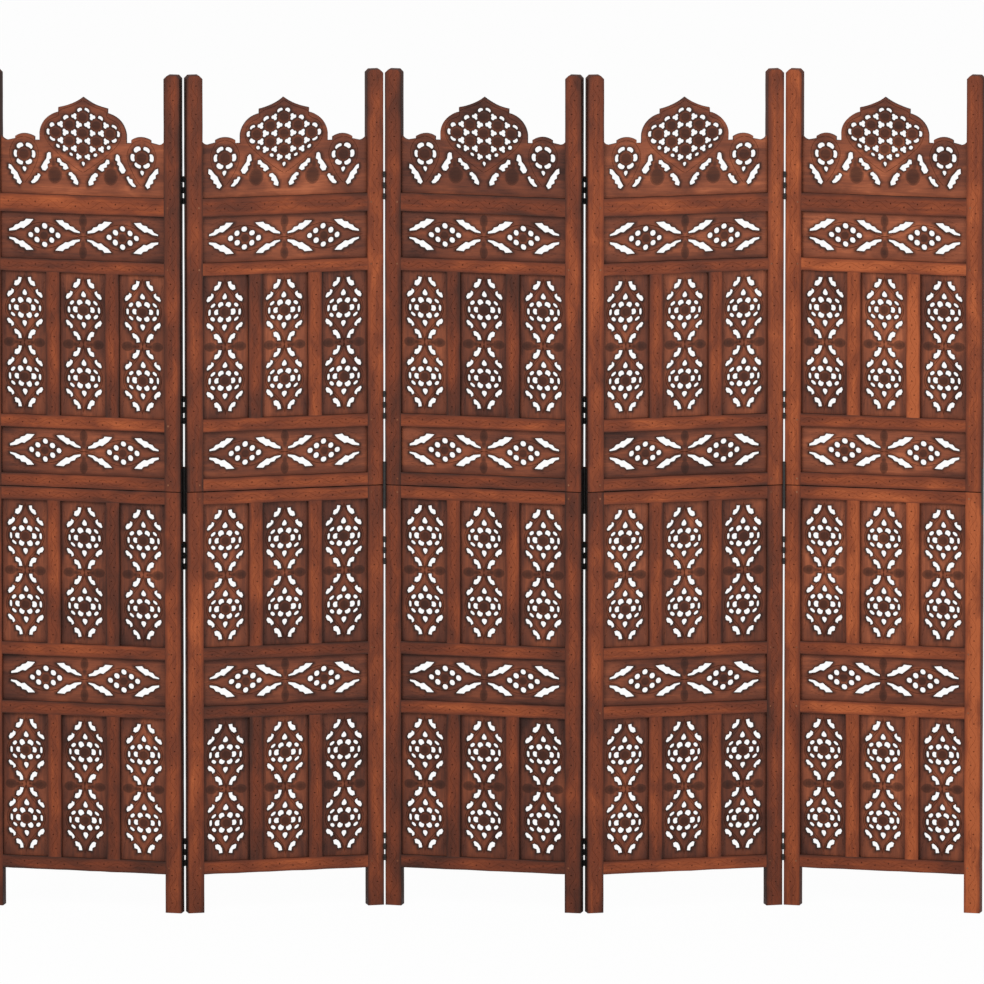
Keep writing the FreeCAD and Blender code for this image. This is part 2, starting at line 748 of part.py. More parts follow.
muntins = []
tall_panels = []
wide_panels = []
tall_face = tall_outline()
wide_face = wide_outline()
for half in COURSES:
    for row, level in enumerate(rows_of(half, "tall")):
        for side in (-1, 1):
            muntins.append(muntin(f"{half}_muntin_{row}_{side + 1}", f"({side} * {COLUMN_PITCH} / 2)", level))
        for column in (-1, 0, 1):
            tall_panels.append(sawn(f"{half}_tall_panel_{row}_{column + 1}", tall_face,
                                    f"{column} * {COLUMN_PITCH}", f"{level} + tall_sight / 2"))
    for row, level in enumerate(rows_of(half, "wide")):
        wide_panels.append(sawn(f"{half}_wide_panel_{row}", wide_face, "0", f"{level} + wide_sight / 2"))
crest = sawn("crest_board", crest_outline(), "0", CREST_BASE)
straps = {side: strap(side) for side in (-1, 1)}

# Pieces of one joint, round the pin axis

plates = {}
for side in (-1, 1):
    plates[side] = []
    for number, middle in enumerate(HINGE_MIDDLES):
        plates[side].append(hinge_plate(
            f"hinge_plate_{side + 1}_{number}", side, middle, "hinge_height",
            small_hinge_knuckles(middle, side),
            [f"({middle} - hinge_screw_spread)", f"({middle} + hinge_screw_spread)"]))
    plates[side].append(hinge_plate(
        f"seam_plate_{side + 1}", side, SEAM_MIDDLE, "seam_hinge_height", seam_hinge_knuckles(side),
        screw_levels("lower", False) + screw_levels("upper", False)))
pins = [pin("seam_pin", f"({SEAM_MIDDLE} - seam_hinge_height / 2)", "seam_hinge_height")]
for number, middle in enumerate(HINGE_MIDDLES):
    for block, level in enumerate(block_bottoms(middle)):
        pins.append(pin(f"hinge_pin_{number}_{block}", level, "knuckle_block"))

# The five leaves in their zigzag, and the four joints between them

nodes = []


def node(label, pieces, x, y, angle):
    """One named group of like pieces, stood in its place in the row."""
    group = doc.addObject("Part::Compound", label)
    group.Label = label
    group.Links = pieces
    put(group, x, y, "0", Rotation(Vector(0, 0, 1), 1))
    group.setExpression("Placement.Rotation.Angle", rule(angle))
    nodes.append(group)


LEAF_COUNT = 5
MIDDLE_LEAF = 3
for leaf in range(1, LEAF_COUNT + 1):
    x = f"({leaf - MIDDLE_LEAF} * {LEAF_STEP})"
    angle = f"({-1 if leaf % 2 else 1} * {FOLD})"
    left_hinged = leaf > 1
    right_hinged = leaf < LEAF_COUNT
    groups = {
        "upper_stiles": [stiles["upper", -1, left_hinged], stiles["upper", 1, right_hinged]],
        "lower_stiles": [stiles["lower", -1, left_hinged], stiles["lower", 1, right_hinged]],
        "rails": rails,
        "muntins": muntins,
        "tall_panels": tall_panels,
        "wide_panels": wide_panels,
        "crest": [crest],
        "joint_pegs": pegs,
        "screws": screws[-1, left_hinged] + screws[1, right_hinged],
    }
    for words, pieces in groups.items():
        node(f"leaf_{leaf}_{words}", pieces, x, "0", angle)
    if not left_hinged:
        node(f"leaf_{leaf}_strap", [straps[-1]], x, "0", angle)
    if not right_hinged:
        node(f"leaf_{leaf}_strap", [straps[1]], x, "0", angle)

# A joint that comes towards the viewer has its pins at the back, and the next one has them at the front
for joint in range(1, LEAF_COUNT):
    pins_behind = joint % 2 == 1
    x = f"({2 * joint - LEAF_COUNT} * {LEAF_STEP} / 2)"
    y = f"({1 if pins_behind else -1} * {AXIS_DEPTH})"
    half_turn = "180 deg" if pins_behind else "0 deg"
    for words, leaf, side in (("left", joint, -1), ("right", joint + 1, 1)):
        angle = f"({-1 if leaf % 2 else 1} * {FOLD} + {half_turn})"
        node(f"hinge_{joint}_{words}_plates", plates[-side if pins_behind else side], x, y, angle)
    left_angle = f"({-1 if joint % 2 else 1} * {FOLD} + {half_turn})"
    node(f"hinge_{joint}_pins", pins, x, y, left_angle)

doc.recompute()

for piece in doc.Objects:
    if "Invalid" in piece.State or "Error" in piece.State:
        raise RuntimeError(f"{piece.Name} did not build: {piece.State}")
os.makedirs("parts", exist_ok=True)
for piece in nodes:
    if piece.Shape.isNull() or not piece.Shape.isValid():
        raise RuntimeError(f"{piece.Label} has no sound shape")
for piece in nodes:
    piece.Shape.exportStep(f"parts/{piece.Label}.step")
print(len(nodes), "nodes,", sum(len(piece.Shape.Solids) for piece in nodes), "solids")
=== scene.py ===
import random
from math import cos, exp, hypot, pi, radians, sin

import bpy
import numpy as np
from mathutils import Matrix, Vector
from mathutils.kdtree import KDTree


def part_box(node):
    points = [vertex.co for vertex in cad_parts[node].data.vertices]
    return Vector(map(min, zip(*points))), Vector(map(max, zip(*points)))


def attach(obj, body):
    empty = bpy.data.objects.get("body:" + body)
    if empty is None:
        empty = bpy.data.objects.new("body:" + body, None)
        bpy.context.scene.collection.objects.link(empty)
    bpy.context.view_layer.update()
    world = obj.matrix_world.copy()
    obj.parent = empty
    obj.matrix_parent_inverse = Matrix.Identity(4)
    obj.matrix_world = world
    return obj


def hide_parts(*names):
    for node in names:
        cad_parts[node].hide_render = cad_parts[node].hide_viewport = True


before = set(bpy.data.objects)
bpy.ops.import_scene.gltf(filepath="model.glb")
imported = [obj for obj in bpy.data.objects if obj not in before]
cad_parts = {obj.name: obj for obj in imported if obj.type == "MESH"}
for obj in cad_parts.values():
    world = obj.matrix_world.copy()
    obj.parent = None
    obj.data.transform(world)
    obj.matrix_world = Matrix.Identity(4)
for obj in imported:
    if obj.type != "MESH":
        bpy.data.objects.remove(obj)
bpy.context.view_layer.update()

# A carved folding screen. Wood is carved flat on a bench, in millimetres: x across the leaf, y up it and z
# out of its face. Each finished piece is then stood in its leaf, in metres, in the frame's own axes.

# Sizes of the leaf, as in the frame
STILE_WIDTH = 31.1
MUNTIN_WIDTH = 27.5
PANEL_SIGHT = 91
TALL_SIGHT = 282
WIDE_SIGHT = 91
RAIL_HEIGHT = 25.2
TOP_RAIL_HEIGHT = 36
LEG_HEIGHT = 76
HORN_HEIGHT = 241.1
HORN_CHAMFER = 6.5
SEAM_GAP = 1.5
FRAME_THICKNESS = 24
PANEL_THICKNESS = 8
TONGUE = 5.5
TENON = 15
PEG_RADIUS = 2
FOLD = radians(13.6)
LEAVES = (1, 2, 3, 4, 5)
OPENING = 3 * PANEL_SIGHT + 2 * MUNTIN_WIDTH
COLUMN_PITCH = PANEL_SIGHT + MUNTIN_WIDTH
PEG_PLACE = (OPENING + TENON) / 2
LOWER_TOP = LEG_HEIGHT + 4 * RAIL_HEIGHT + 2 * TALL_SIGHT + WIDE_SIGHT
UPPER_BASE = LOWER_TOP + SEAM_GAP
CREST_BASE = UPPER_BASE + 3 * RAIL_HEIGHT + 2 * WIDE_SIGHT + TALL_SIGHT + TOP_RAIL_HEIGHT
STILE_TOP = CREST_BASE + HORN_HEIGHT

COURSES = {
    "lower": ("rail", "tall", "rail", "wide", "rail", "tall", "rail"),
    "upper": ("rail", "wide", "rail", "tall", "rail", "wide", "top_rail"),
}
COURSE_HEIGHT = {"rail": RAIL_HEIGHT, "top_rail": TOP_RAIL_HEIGHT, "tall": TALL_SIGHT, "wide": WIDE_SIGHT}
HALF_START = {"lower": LEG_HEIGHT, "upper": UPPER_BASE}
HALF_SPAN = {"lower": (0, LOWER_TOP), "upper": (UPPER_BASE, STILE_TOP)}

# The stiles' outer edges stand past the frame's by as much as the hinge plates are let into them
LET_IN = 0.9
SEEN_STILE_WIDTH = STILE_WIDTH + LET_IN
STILE_PLACE = (OPENING + SEEN_STILE_WIDTH) / 2

# Rails and muntins lie a hair below the face of the stiles, as planed joints do, and pegs a hair above it
RAIL_THICKNESS = FRAME_THICKNESS - 0.6
MUNTIN_THICKNESS = FRAME_THICKNESS - 1.2
PEG_PROUD = 0.25
RAIL_TUCK = 3
RAIL_LENGTH = OPENING + 2 * RAIL_TUCK
MUNTIN_LENGTH = TALL_SIGHT + 2 * RAIL_TUCK
PANEL_FACE = PANEL_THICKNESS / 2

# Hand work: how far a carved line wanders, and how soft the tools left the edges
ARRIS = 0.7
SAWN_ARRIS = 0.5
HOLE_JITTER = 0.35
HOLE_SPREAD = 0.05
DOME_ROOT = 0.5
WANDER = 0.5
STILE_WANDER = 0.15
WANDER_LENGTHS = (38, 61, 97)
WANDER_STEP = 24

# Round bosses: how high they stand, and the ledge between a boss and the holes cut round it
BOSS_RISE = 0.8
BOSS_LEDGE = 1.4

# Half widths of the gouge strokes, which are cut as deep as they are half wide
TALL_STRAP_CUT = 0.85
WIDE_STRAP_CUT = 0.9
BAND_CUT = 0.7
BUD_VEIN_CUT = 0.7
VEIN_CUT = 0.6
STEM_CUT = 0.42
EYE_CUT = 1.7

# How far the painted shade and gathered staining reach round a piercing, and how finely a board's face is
# split to let them fade
RIM_SHADE_AND_STAIN_REACH = 3.3
LONGEST_EDGE = 9
SPLIT_ROUNDS = 5
RIM_STEP = 1.5

# Darkening held by a face, from 0 to 1: sawn walls hold one amount, bosses and cuts more by the millimetre
# On sawn walls and in cuts this darkening is painted shade as well as gathered staining; bosses are simply
# coloured darker the higher they rise
WALL_SHADE_AND_STAIN = 0.5
BOSS_DARKENING = 0.4
DARKENING_PER_MILLIMETRE = 1.1
MOST_BOSS_DARKENING = 0.85
MOST_CUT_SHADE_AND_STAIN = 0.9

# What tells a planed face, a sawn wall and a boss apart: how squarely a face looks out, and its least rise
PLANED_FACE = 0.97
SAWN_WALL = 0.3
LEAST_BOSS_RISE = 0.02
SMOOTH_ANGLE = radians(32)


# Bench work


def pick(piece):
    """Select one piece alone and make it the active one."""
    bpy.ops.object.select_all(action="DESELECT")
    piece.select_set(True)
    bpy.context.view_layer.objects.active = piece
    return piece


def closed_mesh(curve):
    """Turn a curve into one closed mesh with its faces outward."""
    thing = bpy.data.objects.new(curve.name, curve)
    bpy.context.scene.collection.objects.link(thing)
    pick(thing)
    bpy.ops.object.convert(target="MESH")
    bpy.ops.object.mode_set(mode="EDIT")
    bpy.ops.mesh.select_all(action="SELECT")
    bpy.ops.mesh.remove_doubles(threshold=0.001)
    bpy.ops.mesh.normals_make_consistent(inside=False)
    bpy.ops.object.mode_set(mode="OBJECT")
    return bpy.context.object


def draw(curve, points, height=0, half_width=None):
    """Add a line to a curve: closed, or open with a half width that fades to nothing at both ends."""
    line = curve.splines.new("POLY")
    line.points.add(len(points) - 1)
    for number, (x, y) in enumerate(points):
        line.points[number].co = (x, y, height, 1)
        if half_width:
            line.points[number].radius = half_width if 0 < number < len(points) - 1 else 0
    line.use_cyclic_u = half_width is None


def carve(piece, tool, operation="DIFFERENCE"):
    """Cut a tool's shape out of a piece, or join it on, and put the tool away."""
    pick(piece)
    carving = piece.modifiers.new("carving", "BOOLEAN")
    carving.operation = operation
    carving.object = tool
    carving.solver = "MANIFOLD"
    bpy.ops.object.modifier_apply(modifier=carving.name)
    bpy.data.objects.remove(tool)


def incise(piece, strokes, face):
    """Cut V-shaped gouge strokes into the front and the back of a piece."""
    curve = bpy.data.curves.new("gouges", "CURVE")
    curve.dimensions = "3D"
    curve.twist_mode = "Z_UP"
    curve.bevel_depth = 1
    curve.bevel_resolution = 0
    for points, half_width in strokes:
        for height in (face, -face):
            draw(curve, points, height, half_width)
    carve(piece, closed_mesh(curve))


def raise_domes(piece, domes, face):
    """Leave low rounded bosses standing on both faces: each is its middle, its two radii and its rise."""
    for x, y, radius_x, radius_y, rise in domes:
        for height in (face - DOME_ROOT, DOME_ROOT - face):
            bpy.ops.object.select_all(action="DESELECT")
            bpy.ops.mesh.primitive_uv_sphere_add(
                segments=16, ring_count=8, radius=1, location=(x, y, height),
                scale=(radius_x, radius_y, rise + DOME_ROOT))
            bpy.ops.object.transform_apply(location=True, rotation=True, scale=True)
            carve(piece, bpy.context.object, "UNION")


def sawn_board(name, outline, holes):
    """A board of the panels' thickness, sawn to an outline with pierced holes, its arrises softened."""
    curve = bpy.data.curves.new(name, "CURVE")
    curve.dimensions = "2D"
    curve.fill_mode = "BOTH"
    curve.extrude = PANEL_FACE - SAWN_ARRIS
    curve.bevel_depth = SAWN_ARRIS
    curve.bevel_resolution = 0
    curve.offset = -SAWN_ARRIS
    for points in [outline] + holes:
        draw(curve, points)
    return closed_mesh(curve)


def select_edges(piece, wanted):
    """Enter edit mode with only the edges selected that a rule picks by their two ends."""
    pick(piece)
    bpy.ops.object.mode_set(mode="EDIT")
    bpy.ops.mesh.select_mode(type="EDGE")
    bpy.ops.mesh.select_all(action="DESELECT")
    bpy.ops.object.mode_set(mode="OBJECT")
    points = [corner.co for corner in piece.data.vertices]
    for edge in piece.data.edges:
        edge.select = wanted(*(points[number] for number in edge.vertices))
    bpy.ops.object.mode_set(mode="EDIT")


def bevel_where(piece, wanted, offset, segments):
    """Bevel the edges that a rule picks by their two ends."""
    select_edges(piece, wanted)
    bpy.ops.mesh.bevel(offset=offset, segments=segments, affect="EDGES")
    bpy.ops.object.mode_set(mode="OBJECT")


def split_finely(piece):
    """Break a board's faces into short triangles, so that the painted shade round the piercings can fade
    across them.
    """
    for _ in range(SPLIT_ROUNDS):
        select_edges(piece, lambda a, b: (a - b).length > LONGEST_EDGE)
        bpy.ops.mesh.subdivide(number_cuts=1)
        bpy.ops.mesh.select_all(action="SELECT")
        bpy.ops.mesh.quads_convert_to_tris(quad_method="BEAUTY", ngon_method="BEAUTY")
        bpy.ops.mesh.beautify_fill(angle_limit=radians(1))
        bpy.ops.object.mode_set(mode="OBJECT")


def mark_rims(piece, holes):
    """Note how near each point of a board lies to a piercing."""
    rim = []
    for outline in holes:
        for start, end in zip(outline, outline[1:] + outline[:1]):
            start, end = Vector((*start, 0)), Vector((*end, 0))
            steps = 1 + int((end - start).length / RIM_STEP)
            rim += [start.lerp(end, step / steps) for step in range(steps)]
    tree = KDTree(len(rim))
    for number, place in enumerate(rim):
        tree.insert(place, number)
    tree.balance()
    near = []
    for corner in piece.data.vertices:
        distance = tree.find((corner.co.x, corner.co.y, 0))[2]
        near.append(exp(-(distance / RIM_SHADE_AND_STAIN_REACH) ** 2))
    # This nearness masks a painted shade round each hole, together with the staining gathered there
    piece.data.attributes.new("near_cut", "FLOAT", "POINT").data.foreach_set("value", near)


def finish_bench(piece, face):
    """Shade a carved piece and mark how dark each face is coloured: bosses, sawn walls and deep cuts hold
    more of it, walls and cuts as painted shade together with gathered staining.
    """
    pick(piece)
    bpy.ops.object.shade_smooth_by_angle(angle=SMOOTH_ANGLE)
    mesh = piece.data
    stain_and_shade = []
    for side in mesh.polygons:
        side.use_smooth = abs(side.normal.z) < PLANED_FACE
        sunk = face - abs(side.center.z)
        # Sawn walls and faces sunk in cuts or on softened arrises take painted shade together with gathered
        # staining; bosses darken as they rise
        if abs(side.normal.z) < SAWN_WALL:
            stain_and_shade.append(WALL_SHADE_AND_STAIN)
        elif sunk < -LEAST_BOSS_RISE:
            stain_and_shade.append(min(MOST_BOSS_DARKENING, BOSS_DARKENING - DARKENING_PER_MILLIMETRE * sunk))
        else:
            stain_and_shade.append(min(MOST_CUT_SHADE_AND_STAIN, DARKENING_PER_MILLIMETRE * sunk))
    mesh.attributes.new("stain_and_shade", "FLOAT", "FACE").data.foreach_set("value", stain_and_shade)
    return piece


def finish_board(board, holes):
    """Finish a pierced board, with painted shade round its holes, where staining gathers as well."""
    split_finely(board)
    mark_rims(board, holes)
    return finish_bench(board, PANEL_FACE)


# Outlines of the piercings


def rectangle(width, height):
    """The corners of a rectangle about the origin."""
    right, top = width / 2, height / 2
    return [(-right, -top), (right, -top), (right, top), (-right, top)]


def turned(x, y, turn):
    """A point turned about the origin."""
    return x * cos(turn) - y * sin(turn), x * sin(turn) + y * cos(turn)


def power(number, exponent):
    """A number raised to a power, with its sign kept."""
    return abs(number) ** exponent * (1 if number > 0 else -1)


def oval(x, y, along, across, turn=0, blunt=1, steps=16):
    """An ellipse, or, with blunt under 1, a fuller one with rounded corners."""
    points = []
    for step in range(steps):
        angle = 2 * pi * step / steps
        dx, dy = turned(along / 2 * power(cos(angle), blunt), across / 2 * power(sin(angle), blunt), turn)
        points.append((x + dx, y + dy))
    return points


def bitten(points, boss_x, boss_y, boss_radius):
    """Push an outline out of a round boss, so that the boss bites into the hole."""
    kept = []
    for x, y in points:
        away = max(1, boss_radius / hypot(x - boss_x, y - boss_y))
        kept.append((boss_x + (x - boss_x) * away, boss_y + (y - boss_y) * away))
    return kept


def bean(x, y, outer, width, turn, boss_radius):
    """A petal about a boss: an oval out to a radius, with the round of the boss bitten from its inside."""
    overlap = 2
    inner = boss_radius - overlap
    dx, dy = turned((inner + outer) / 2, 0, turn)
    petal = oval(x + dx, y + dy, outer - inner, width, turn, blunt=0.9, steps=18)
    return bitten(petal, x, y, boss_radius)


def trefoil(x, y, reach, turn, steps=9):
    """Three round lobes that run into each other, one of them in the direction of its turn."""
    lobe_radius, lobe_place = 0.54 * reach, 0.46 * reach
    points = []
    for third in range(3):
        for step in range(steps):
            angle = 2 * pi / 3 * (step / steps - 0.5)
            edge = lobe_place * cos(angle) + (lobe_radius ** 2 - (lobe_place * sin(angle)) ** 2) ** 0.5
            dx, dy = turned(edge, 0, turn + 2 * pi / 3 * third + angle)
            points.append((x + dx, y + dy))
    return points


def drop(x, y, length, width, turn, steps=16):
    """A drop with a round end and a point in the direction of its turn."""
    fullest = 0.77
    points = []
    for step in range(steps):
        angle = 2 * pi * step / steps
        dx, dy = turned(length / 2 * cos(angle), width / 2 * sin(angle) * sin(angle / 2) / fullest, turn)
        points.append((x + dx, y + dy))
    return points


def freehand(outline, signs, middle, hand):
    """A drawn outline, mirrored into its quarter and sawn freehand, with each corner a little off."""
    points = []
    for x, y in outline:
        sawn_x = middle[0] + signs[0] * (x + hand.off())
        sawn_y = middle[1] + signs[1] * (y + hand.off())
        points.append((sawn_x, sawn_y))
    return points


def arc(start, middle, end, steps):
    """Points on the circle through three points, without the last one."""
    (ax, ay), (bx, by), (cx, cy) = start, middle, end
    spread = 2 * (ax * (by - cy) + bx * (cy - ay) + cx * (ay - by))
    a, b, c = ax * ax + ay * ay, bx * bx + by * by, cx * cx + cy * cy
    centre_x = (a * (by - cy) + b * (cy - ay) + c * (ay - by)) / spread
    centre_y = (a * (cx - bx) + b * (ax - cx) + c * (bx - ax)) / spread
    first = Vector((ax - centre_x, ay - centre_y))
    through = first.angle_signed(Vector((bx - centre_x, by - centre_y)))
    sweep = first.angle_signed(Vector((cx - centre_x, cy - centre_y)))
    if through * sweep < 0 or abs(through) > abs(sweep):
        sweep += -2 * pi if sweep > 0 else 2 * pi
    points = []
    for step in range(steps):
        dx, dy = turned(first.x, first.y, -sweep * step / steps)
        points.append((centre_x + dx, centre_y + dy))
    return points


def between(before, start, end, after, share):
    """A value part of the way from a start to an end, on a smooth run through four values."""
    bend = 2 * before - 5 * start + 4 * end - after
    twist = 3 * start - before - 3 * end + after
    return 0.5 * (2 * start + (end - before) * share + bend * share ** 2 + twist * share ** 3)


def smooth(points, steps=5):
    """A smooth line through a few points."""
    line = []
    last = len(points) - 1
    for number in range(last):
        four = [points[max(0, min(last, number + shift))] for shift in (-1, 0, 1, 2)]
        for step in range(steps):
            line.append(tuple(between(*values, step / steps) for values in zip(*four)))
    return line + [points[-1]]


def stroke(start, scale, run):
    """A gouge stroke: its run of points, set out from a start and scaled or mirrored each way."""
    return [(start[0] + scale[0] * x, start[1] + scale[1] * y) for x, y in run]


class Hand:
    """The carver's hand: every place and size that it sets out is a little off."""

    def __init__(self, seed):
        self.chance = random.Random(seed)

    def off(self, amount=HOLE_JITTER):
        return self.chance.uniform(-amount, amount)

    def size(self, amount):
        return amount * (1 + self.off(HOLE_SPREAD))

    def saw(self, shape, x, y, along, across, **more):
        """A hole of some shape, with its place and its two sizes each a little off."""
        return shape(x + self.off(), y + self.off(), self.size(along), self.size(across), **more)


QUADRANTS = ((1, 1), (-1, 1), (-1, -1), (1, -1))

# Tall panel: two rosettes in a pointed oval of leaf cuts, with crossing straps between them
TALL_PITCH = 135
TALL_BOSS = 10.8
TALL_STRAP_EDGES = ((35, 2.3), (38.5, 1.75))
TALL_STRAP_STEPS = 16

# Its holes about the middle of a rosette: a petal's reach and width, then places and sizes of the others
TALL_PETAL = (22.2, 12.4)
SIDE_CELL_PLACE = 30
SIDE_CELL = (13, 6.3)
END_DROP_PLACE = 30.8
END_DROP = (13.4, 10.8)
CORNER_CELL_X = 23.6
CORNER_CELL_Y = 13.4
CORNER_CELL = (11.4, 7)
CORNER_CELL_TURN = radians(142)
SIDE_LEAF = (
    (21.3, 34.6), (27, 38), (28.2, 32.6), (33.6, 31), (36.6, 24.4), (34.8, 20), (30.2, 21.6), (25, 26),
    (21.6, 30.2),
)
END_LEAF = (
    (5.5, 60), (13.6, 61), (14.4, 54.2), (20.6, 51.6), (22.2, 43.8), (17.6, 41.8), (11.6, 45), (7.2, 52),
)

# Its carving: buds where the straps cross, as place, two radii and rise, then veins on them and by the ends
TALL_BUDS = ((29.5, 15, 11.5, 0.45), (16, 9, 5, 0.35))
BUD_VEIN_RISES = (-3, 0, 3)
BUD_VEIN = ((6, 0.4), (14, 0.9), (23, 1))
END_VEIN = ((0, 0), (3, 4), (5, 9))
END_VEIN_STARTS = ((33, 96), (35, 105), (37, 114))


def tall_rosette(y, hand):
    """The holes of one rosette, at a height on the panel."""
    holes = []
    for petal in range(6):
        holes.append(hand.saw(bean, 0, y, *TALL_PETAL, turn=petal * pi / 3,
                              boss_radius=TALL_BOSS + BOSS_LEDGE))
    for sign in (-1, 1):
        holes.append(hand.saw(oval, sign * SIDE_CELL_PLACE, y, *SIDE_CELL, turn=pi / 2, blunt=0.75))
        holes.append(hand.saw(drop, 0, y + sign * END_DROP_PLACE, *END_DROP, turn=sign * pi / 2))
    for sx, sy in QUADRANTS:
        holes.append(hand.saw(oval, sx * CORNER_CELL_X, y + sy * CORNER_CELL_Y, *CORNER_CELL,
                              turn=sx * sy * CORNER_CELL_TURN, blunt=0.85))
        holes.append(freehand(SIDE_LEAF, (sx, sy), (0, y), hand))
        holes.append(freehand(END_LEAF, (sx, sy), (0, y), hand))
    return holes


def strap_lines(reach, fullness, pitch, steps):
    """Two lines that swing round each rosette in turn and cross between them."""
    lines = []
    for sign in (-1, 1):
        points = []
        for step in range(2 * steps + 1):
            along = pitch * (step / steps - 1)
            swing = sin(pi * along / pitch)
            points.append((sign * reach * power(swing, fullness), along))
        lines.append(points)
    return lines


def tall_panel(seed):
    """A tall panel with its piercings, bosses, straps and veins, set out by a hand of its own."""
    hand = Hand(seed)
    holes = tall_rosette(-TALL_PITCH / 2, hand) + tall_rosette(TALL_PITCH / 2, hand)
    board = sawn_board("tall_panel", rectangle(PANEL_SIGHT + 2 * TONGUE, TALL_SIGHT + 2 * TONGUE), holes)
    domes = [(0, sign * TALL_PITCH / 2, TALL_BOSS, TALL_BOSS, BOSS_RISE) for sign in (-1, 1)]
    for sign in (-1, 1):
        domes += [(sign * place, 0, *dome) for place, *dome in TALL_BUDS]
    raise_domes(board, domes, PANEL_FACE)
    for reach, fullness in TALL_STRAP_EDGES:
        for line in strap_lines(reach, fullness, TALL_PITCH, TALL_STRAP_STEPS):
            incise(board, [(line, TALL_STRAP_CUT)], PANEL_FACE)
    veins = []
    for sign in (-1, 1):
        for rise in BUD_VEIN_RISES:
            veins.append((stroke((0, 0), (sign, rise), BUD_VEIN), BUD_VEIN_CUT))
        for side in (-1, 1):
            for x, y in END_VEIN_STARTS:
                veins.append((stroke((side * x, sign * y), (side, sign), END_VEIN), VEIN_CUT))
    incise(board, veins, PANEL_FACE)
    return finish_board(board, holes)


# Wide panel: two rosettes of round holes, each in an eye of four feathers
WIDE_PITCH = 157
WIDE_BOSS = 9.8
WIDE_STRAP_REACH = 25.5
WIDE_STRAP_FULLNESS = 1.7
WIDE_STRAP_STEPS = 20

# Its holes about the middle of a rosette: over and under the boss, beside it, and in the corners between
UPRIGHT_HOLE_PLACE = 17.9
UPRIGHT_HOLE = (11.8, 11.4)
SIDE_HOLE_PLACE = 27.4
SIDE_HOLE = (11.4, 11.4)
CORNER_HOLE_X = 14.8
CORNER_HOLE_Y = 9.4
CORNER_HOLE = (11.6, 11.8)
FEATHER = (
    (21, 30.2), (37, 31), (41, 26.4), (48.5, 25), (52, 20.2), (59, 18.4), (63, 13.2), (71.5, 9.6),
    (71.8, 5.6), (58.5, 7.4), (49, 12.8), (42.5, 11.8), (36.5, 16.8), (29, 21.8),
)

# Its carving: buds where the straps cross, as place, two radii and rise, and veins by the feathers
WIDE_BUDS = ((30.5, 10, 16, 0.45), (15, 6, 11, 0.35))
FEATHER_VEIN = ((0, 0), (4, 1.5), (9, 0))
FEATHER_VEIN_STARTS = ((36, 37), (44, 34), (52, 31), (60, 28))


def wide_rosette(x, hand):
    """The holes of one rosette, at a place along the panel."""
    holes = []
    for sign in (-1, 1):
        holes.append(hand.saw(oval, x, sign * UPRIGHT_HOLE_PLACE, *UPRIGHT_HOLE))
        holes.append(hand.saw(oval, x + sign * SIDE_HOLE_PLACE, 0, *SIDE_HOLE))
    for sx, sy in QUADRANTS:
        hole = hand.saw(oval, x + sx * CORNER_HOLE_X, sy * CORNER_HOLE_Y, *CORNER_HOLE)
        holes.append(bitten(hole, x, 0, WIDE_BOSS + BOSS_LEDGE))
        holes.append(freehand(FEATHER, (sx, sy), (x, 0), hand))
    return holes


def wide_panel(seed):
    """A wide panel with its piercings, bosses, straps and veins, set out by a hand of its own."""
    hand = Hand(seed)
    holes = wide_rosette(-WIDE_PITCH / 2, hand) + wide_rosette(WIDE_PITCH / 2, hand)
    board = sawn_board("wide_panel", rectangle(OPENING + 2 * TONGUE, WIDE_SIGHT + 2 * TONGUE), holes)
    domes = [(sign * WIDE_PITCH / 2, 0, WIDE_BOSS, WIDE_BOSS, BOSS_RISE) for sign in (-1, 1)]
    for sign in (-1, 1):
        domes += [(0, sign * place, *dome) for place, *dome in WIDE_BUDS]
    raise_domes(board, domes, PANEL_FACE)
    for line in strap_lines(WIDE_STRAP_REACH, WIDE_STRAP_FULLNESS, WIDE_PITCH, WIDE_STRAP_STEPS):
        incise(board, [([(y, x) for x, y in line], WIDE_STRAP_CUT)], PANEL_FACE)
    veins = []
    for sx, sy in QUADRANTS:
        for x, y in FEATHER_VEIN_STARTS:
            start = (sx * (WIDE_PITCH / 2 + x), sy * y)
            veins.append((stroke(start, (sx, sy), FEATHER_VEIN), VEIN_CUT))
    incise(board, veins, PANEL_FACE)
    return finish_board(board, holes)


# Crest: a domed middle with a lattice of bosses between two low arches, each with a medallion
CREST_SIDE = (OPENING / 2, 112.9)
CREST_EDGE = {
    "side_hollow": (159, 106.5),
    "dip": (152, 103.6),
    "arch_foot": (136, 107),
    "arch_outer": (136, 111.8),
    "arch_top": (118, 117.6),
    "arch_inner": (97, 111.8),
    "valley_outer": (97, 105),
    "valley_inner": (87, 105),
    "dome_side": (87, 121),
    "dome_swell": (74.5, 148),
    "dome_shoulder": (49.6, 161.8),
    "step": (49.6, 170.7),
    "ogee_hollow": (24, 178.5),
    "apex": (0, 192.8),
}
LATTICE_HEIGHT = 122
LATTICE_PITCH = 31.5
LATTICE_BOSS = 11.4
INNER_TREFOIL = 7.5
OUTER_TREFOIL = 7.2
RIM_SLOT = (19.8, 12.2)
LOWEST_SLOT = LATTICE_HEIGHT - 0.9 * LATTICE_PITCH

# Beads below the lattice, as place across, fall from its middle, length, width and slant in degrees
LATTICE_BEADS = ((51, 27.4, 9.8, 7.4, 40), (24.2, 43, 9.4, 7, 30))
LATTICE_DROP_FALL = 61.5
LATTICE_DROP = (10, 7.4)

MEDALLION = (118, 77)
MEDALLION_BOSS = 13.4
MEDALLION_PETAL = (23.4, 15.6)
MEDALLION_DROP_FALL = 30.4
MEDALLION_DROP = (11, 9)
MEDALLION_RING = ((0, -57), (14, -38), (27, -10), (28, 10), (17, 29), (0, 35))

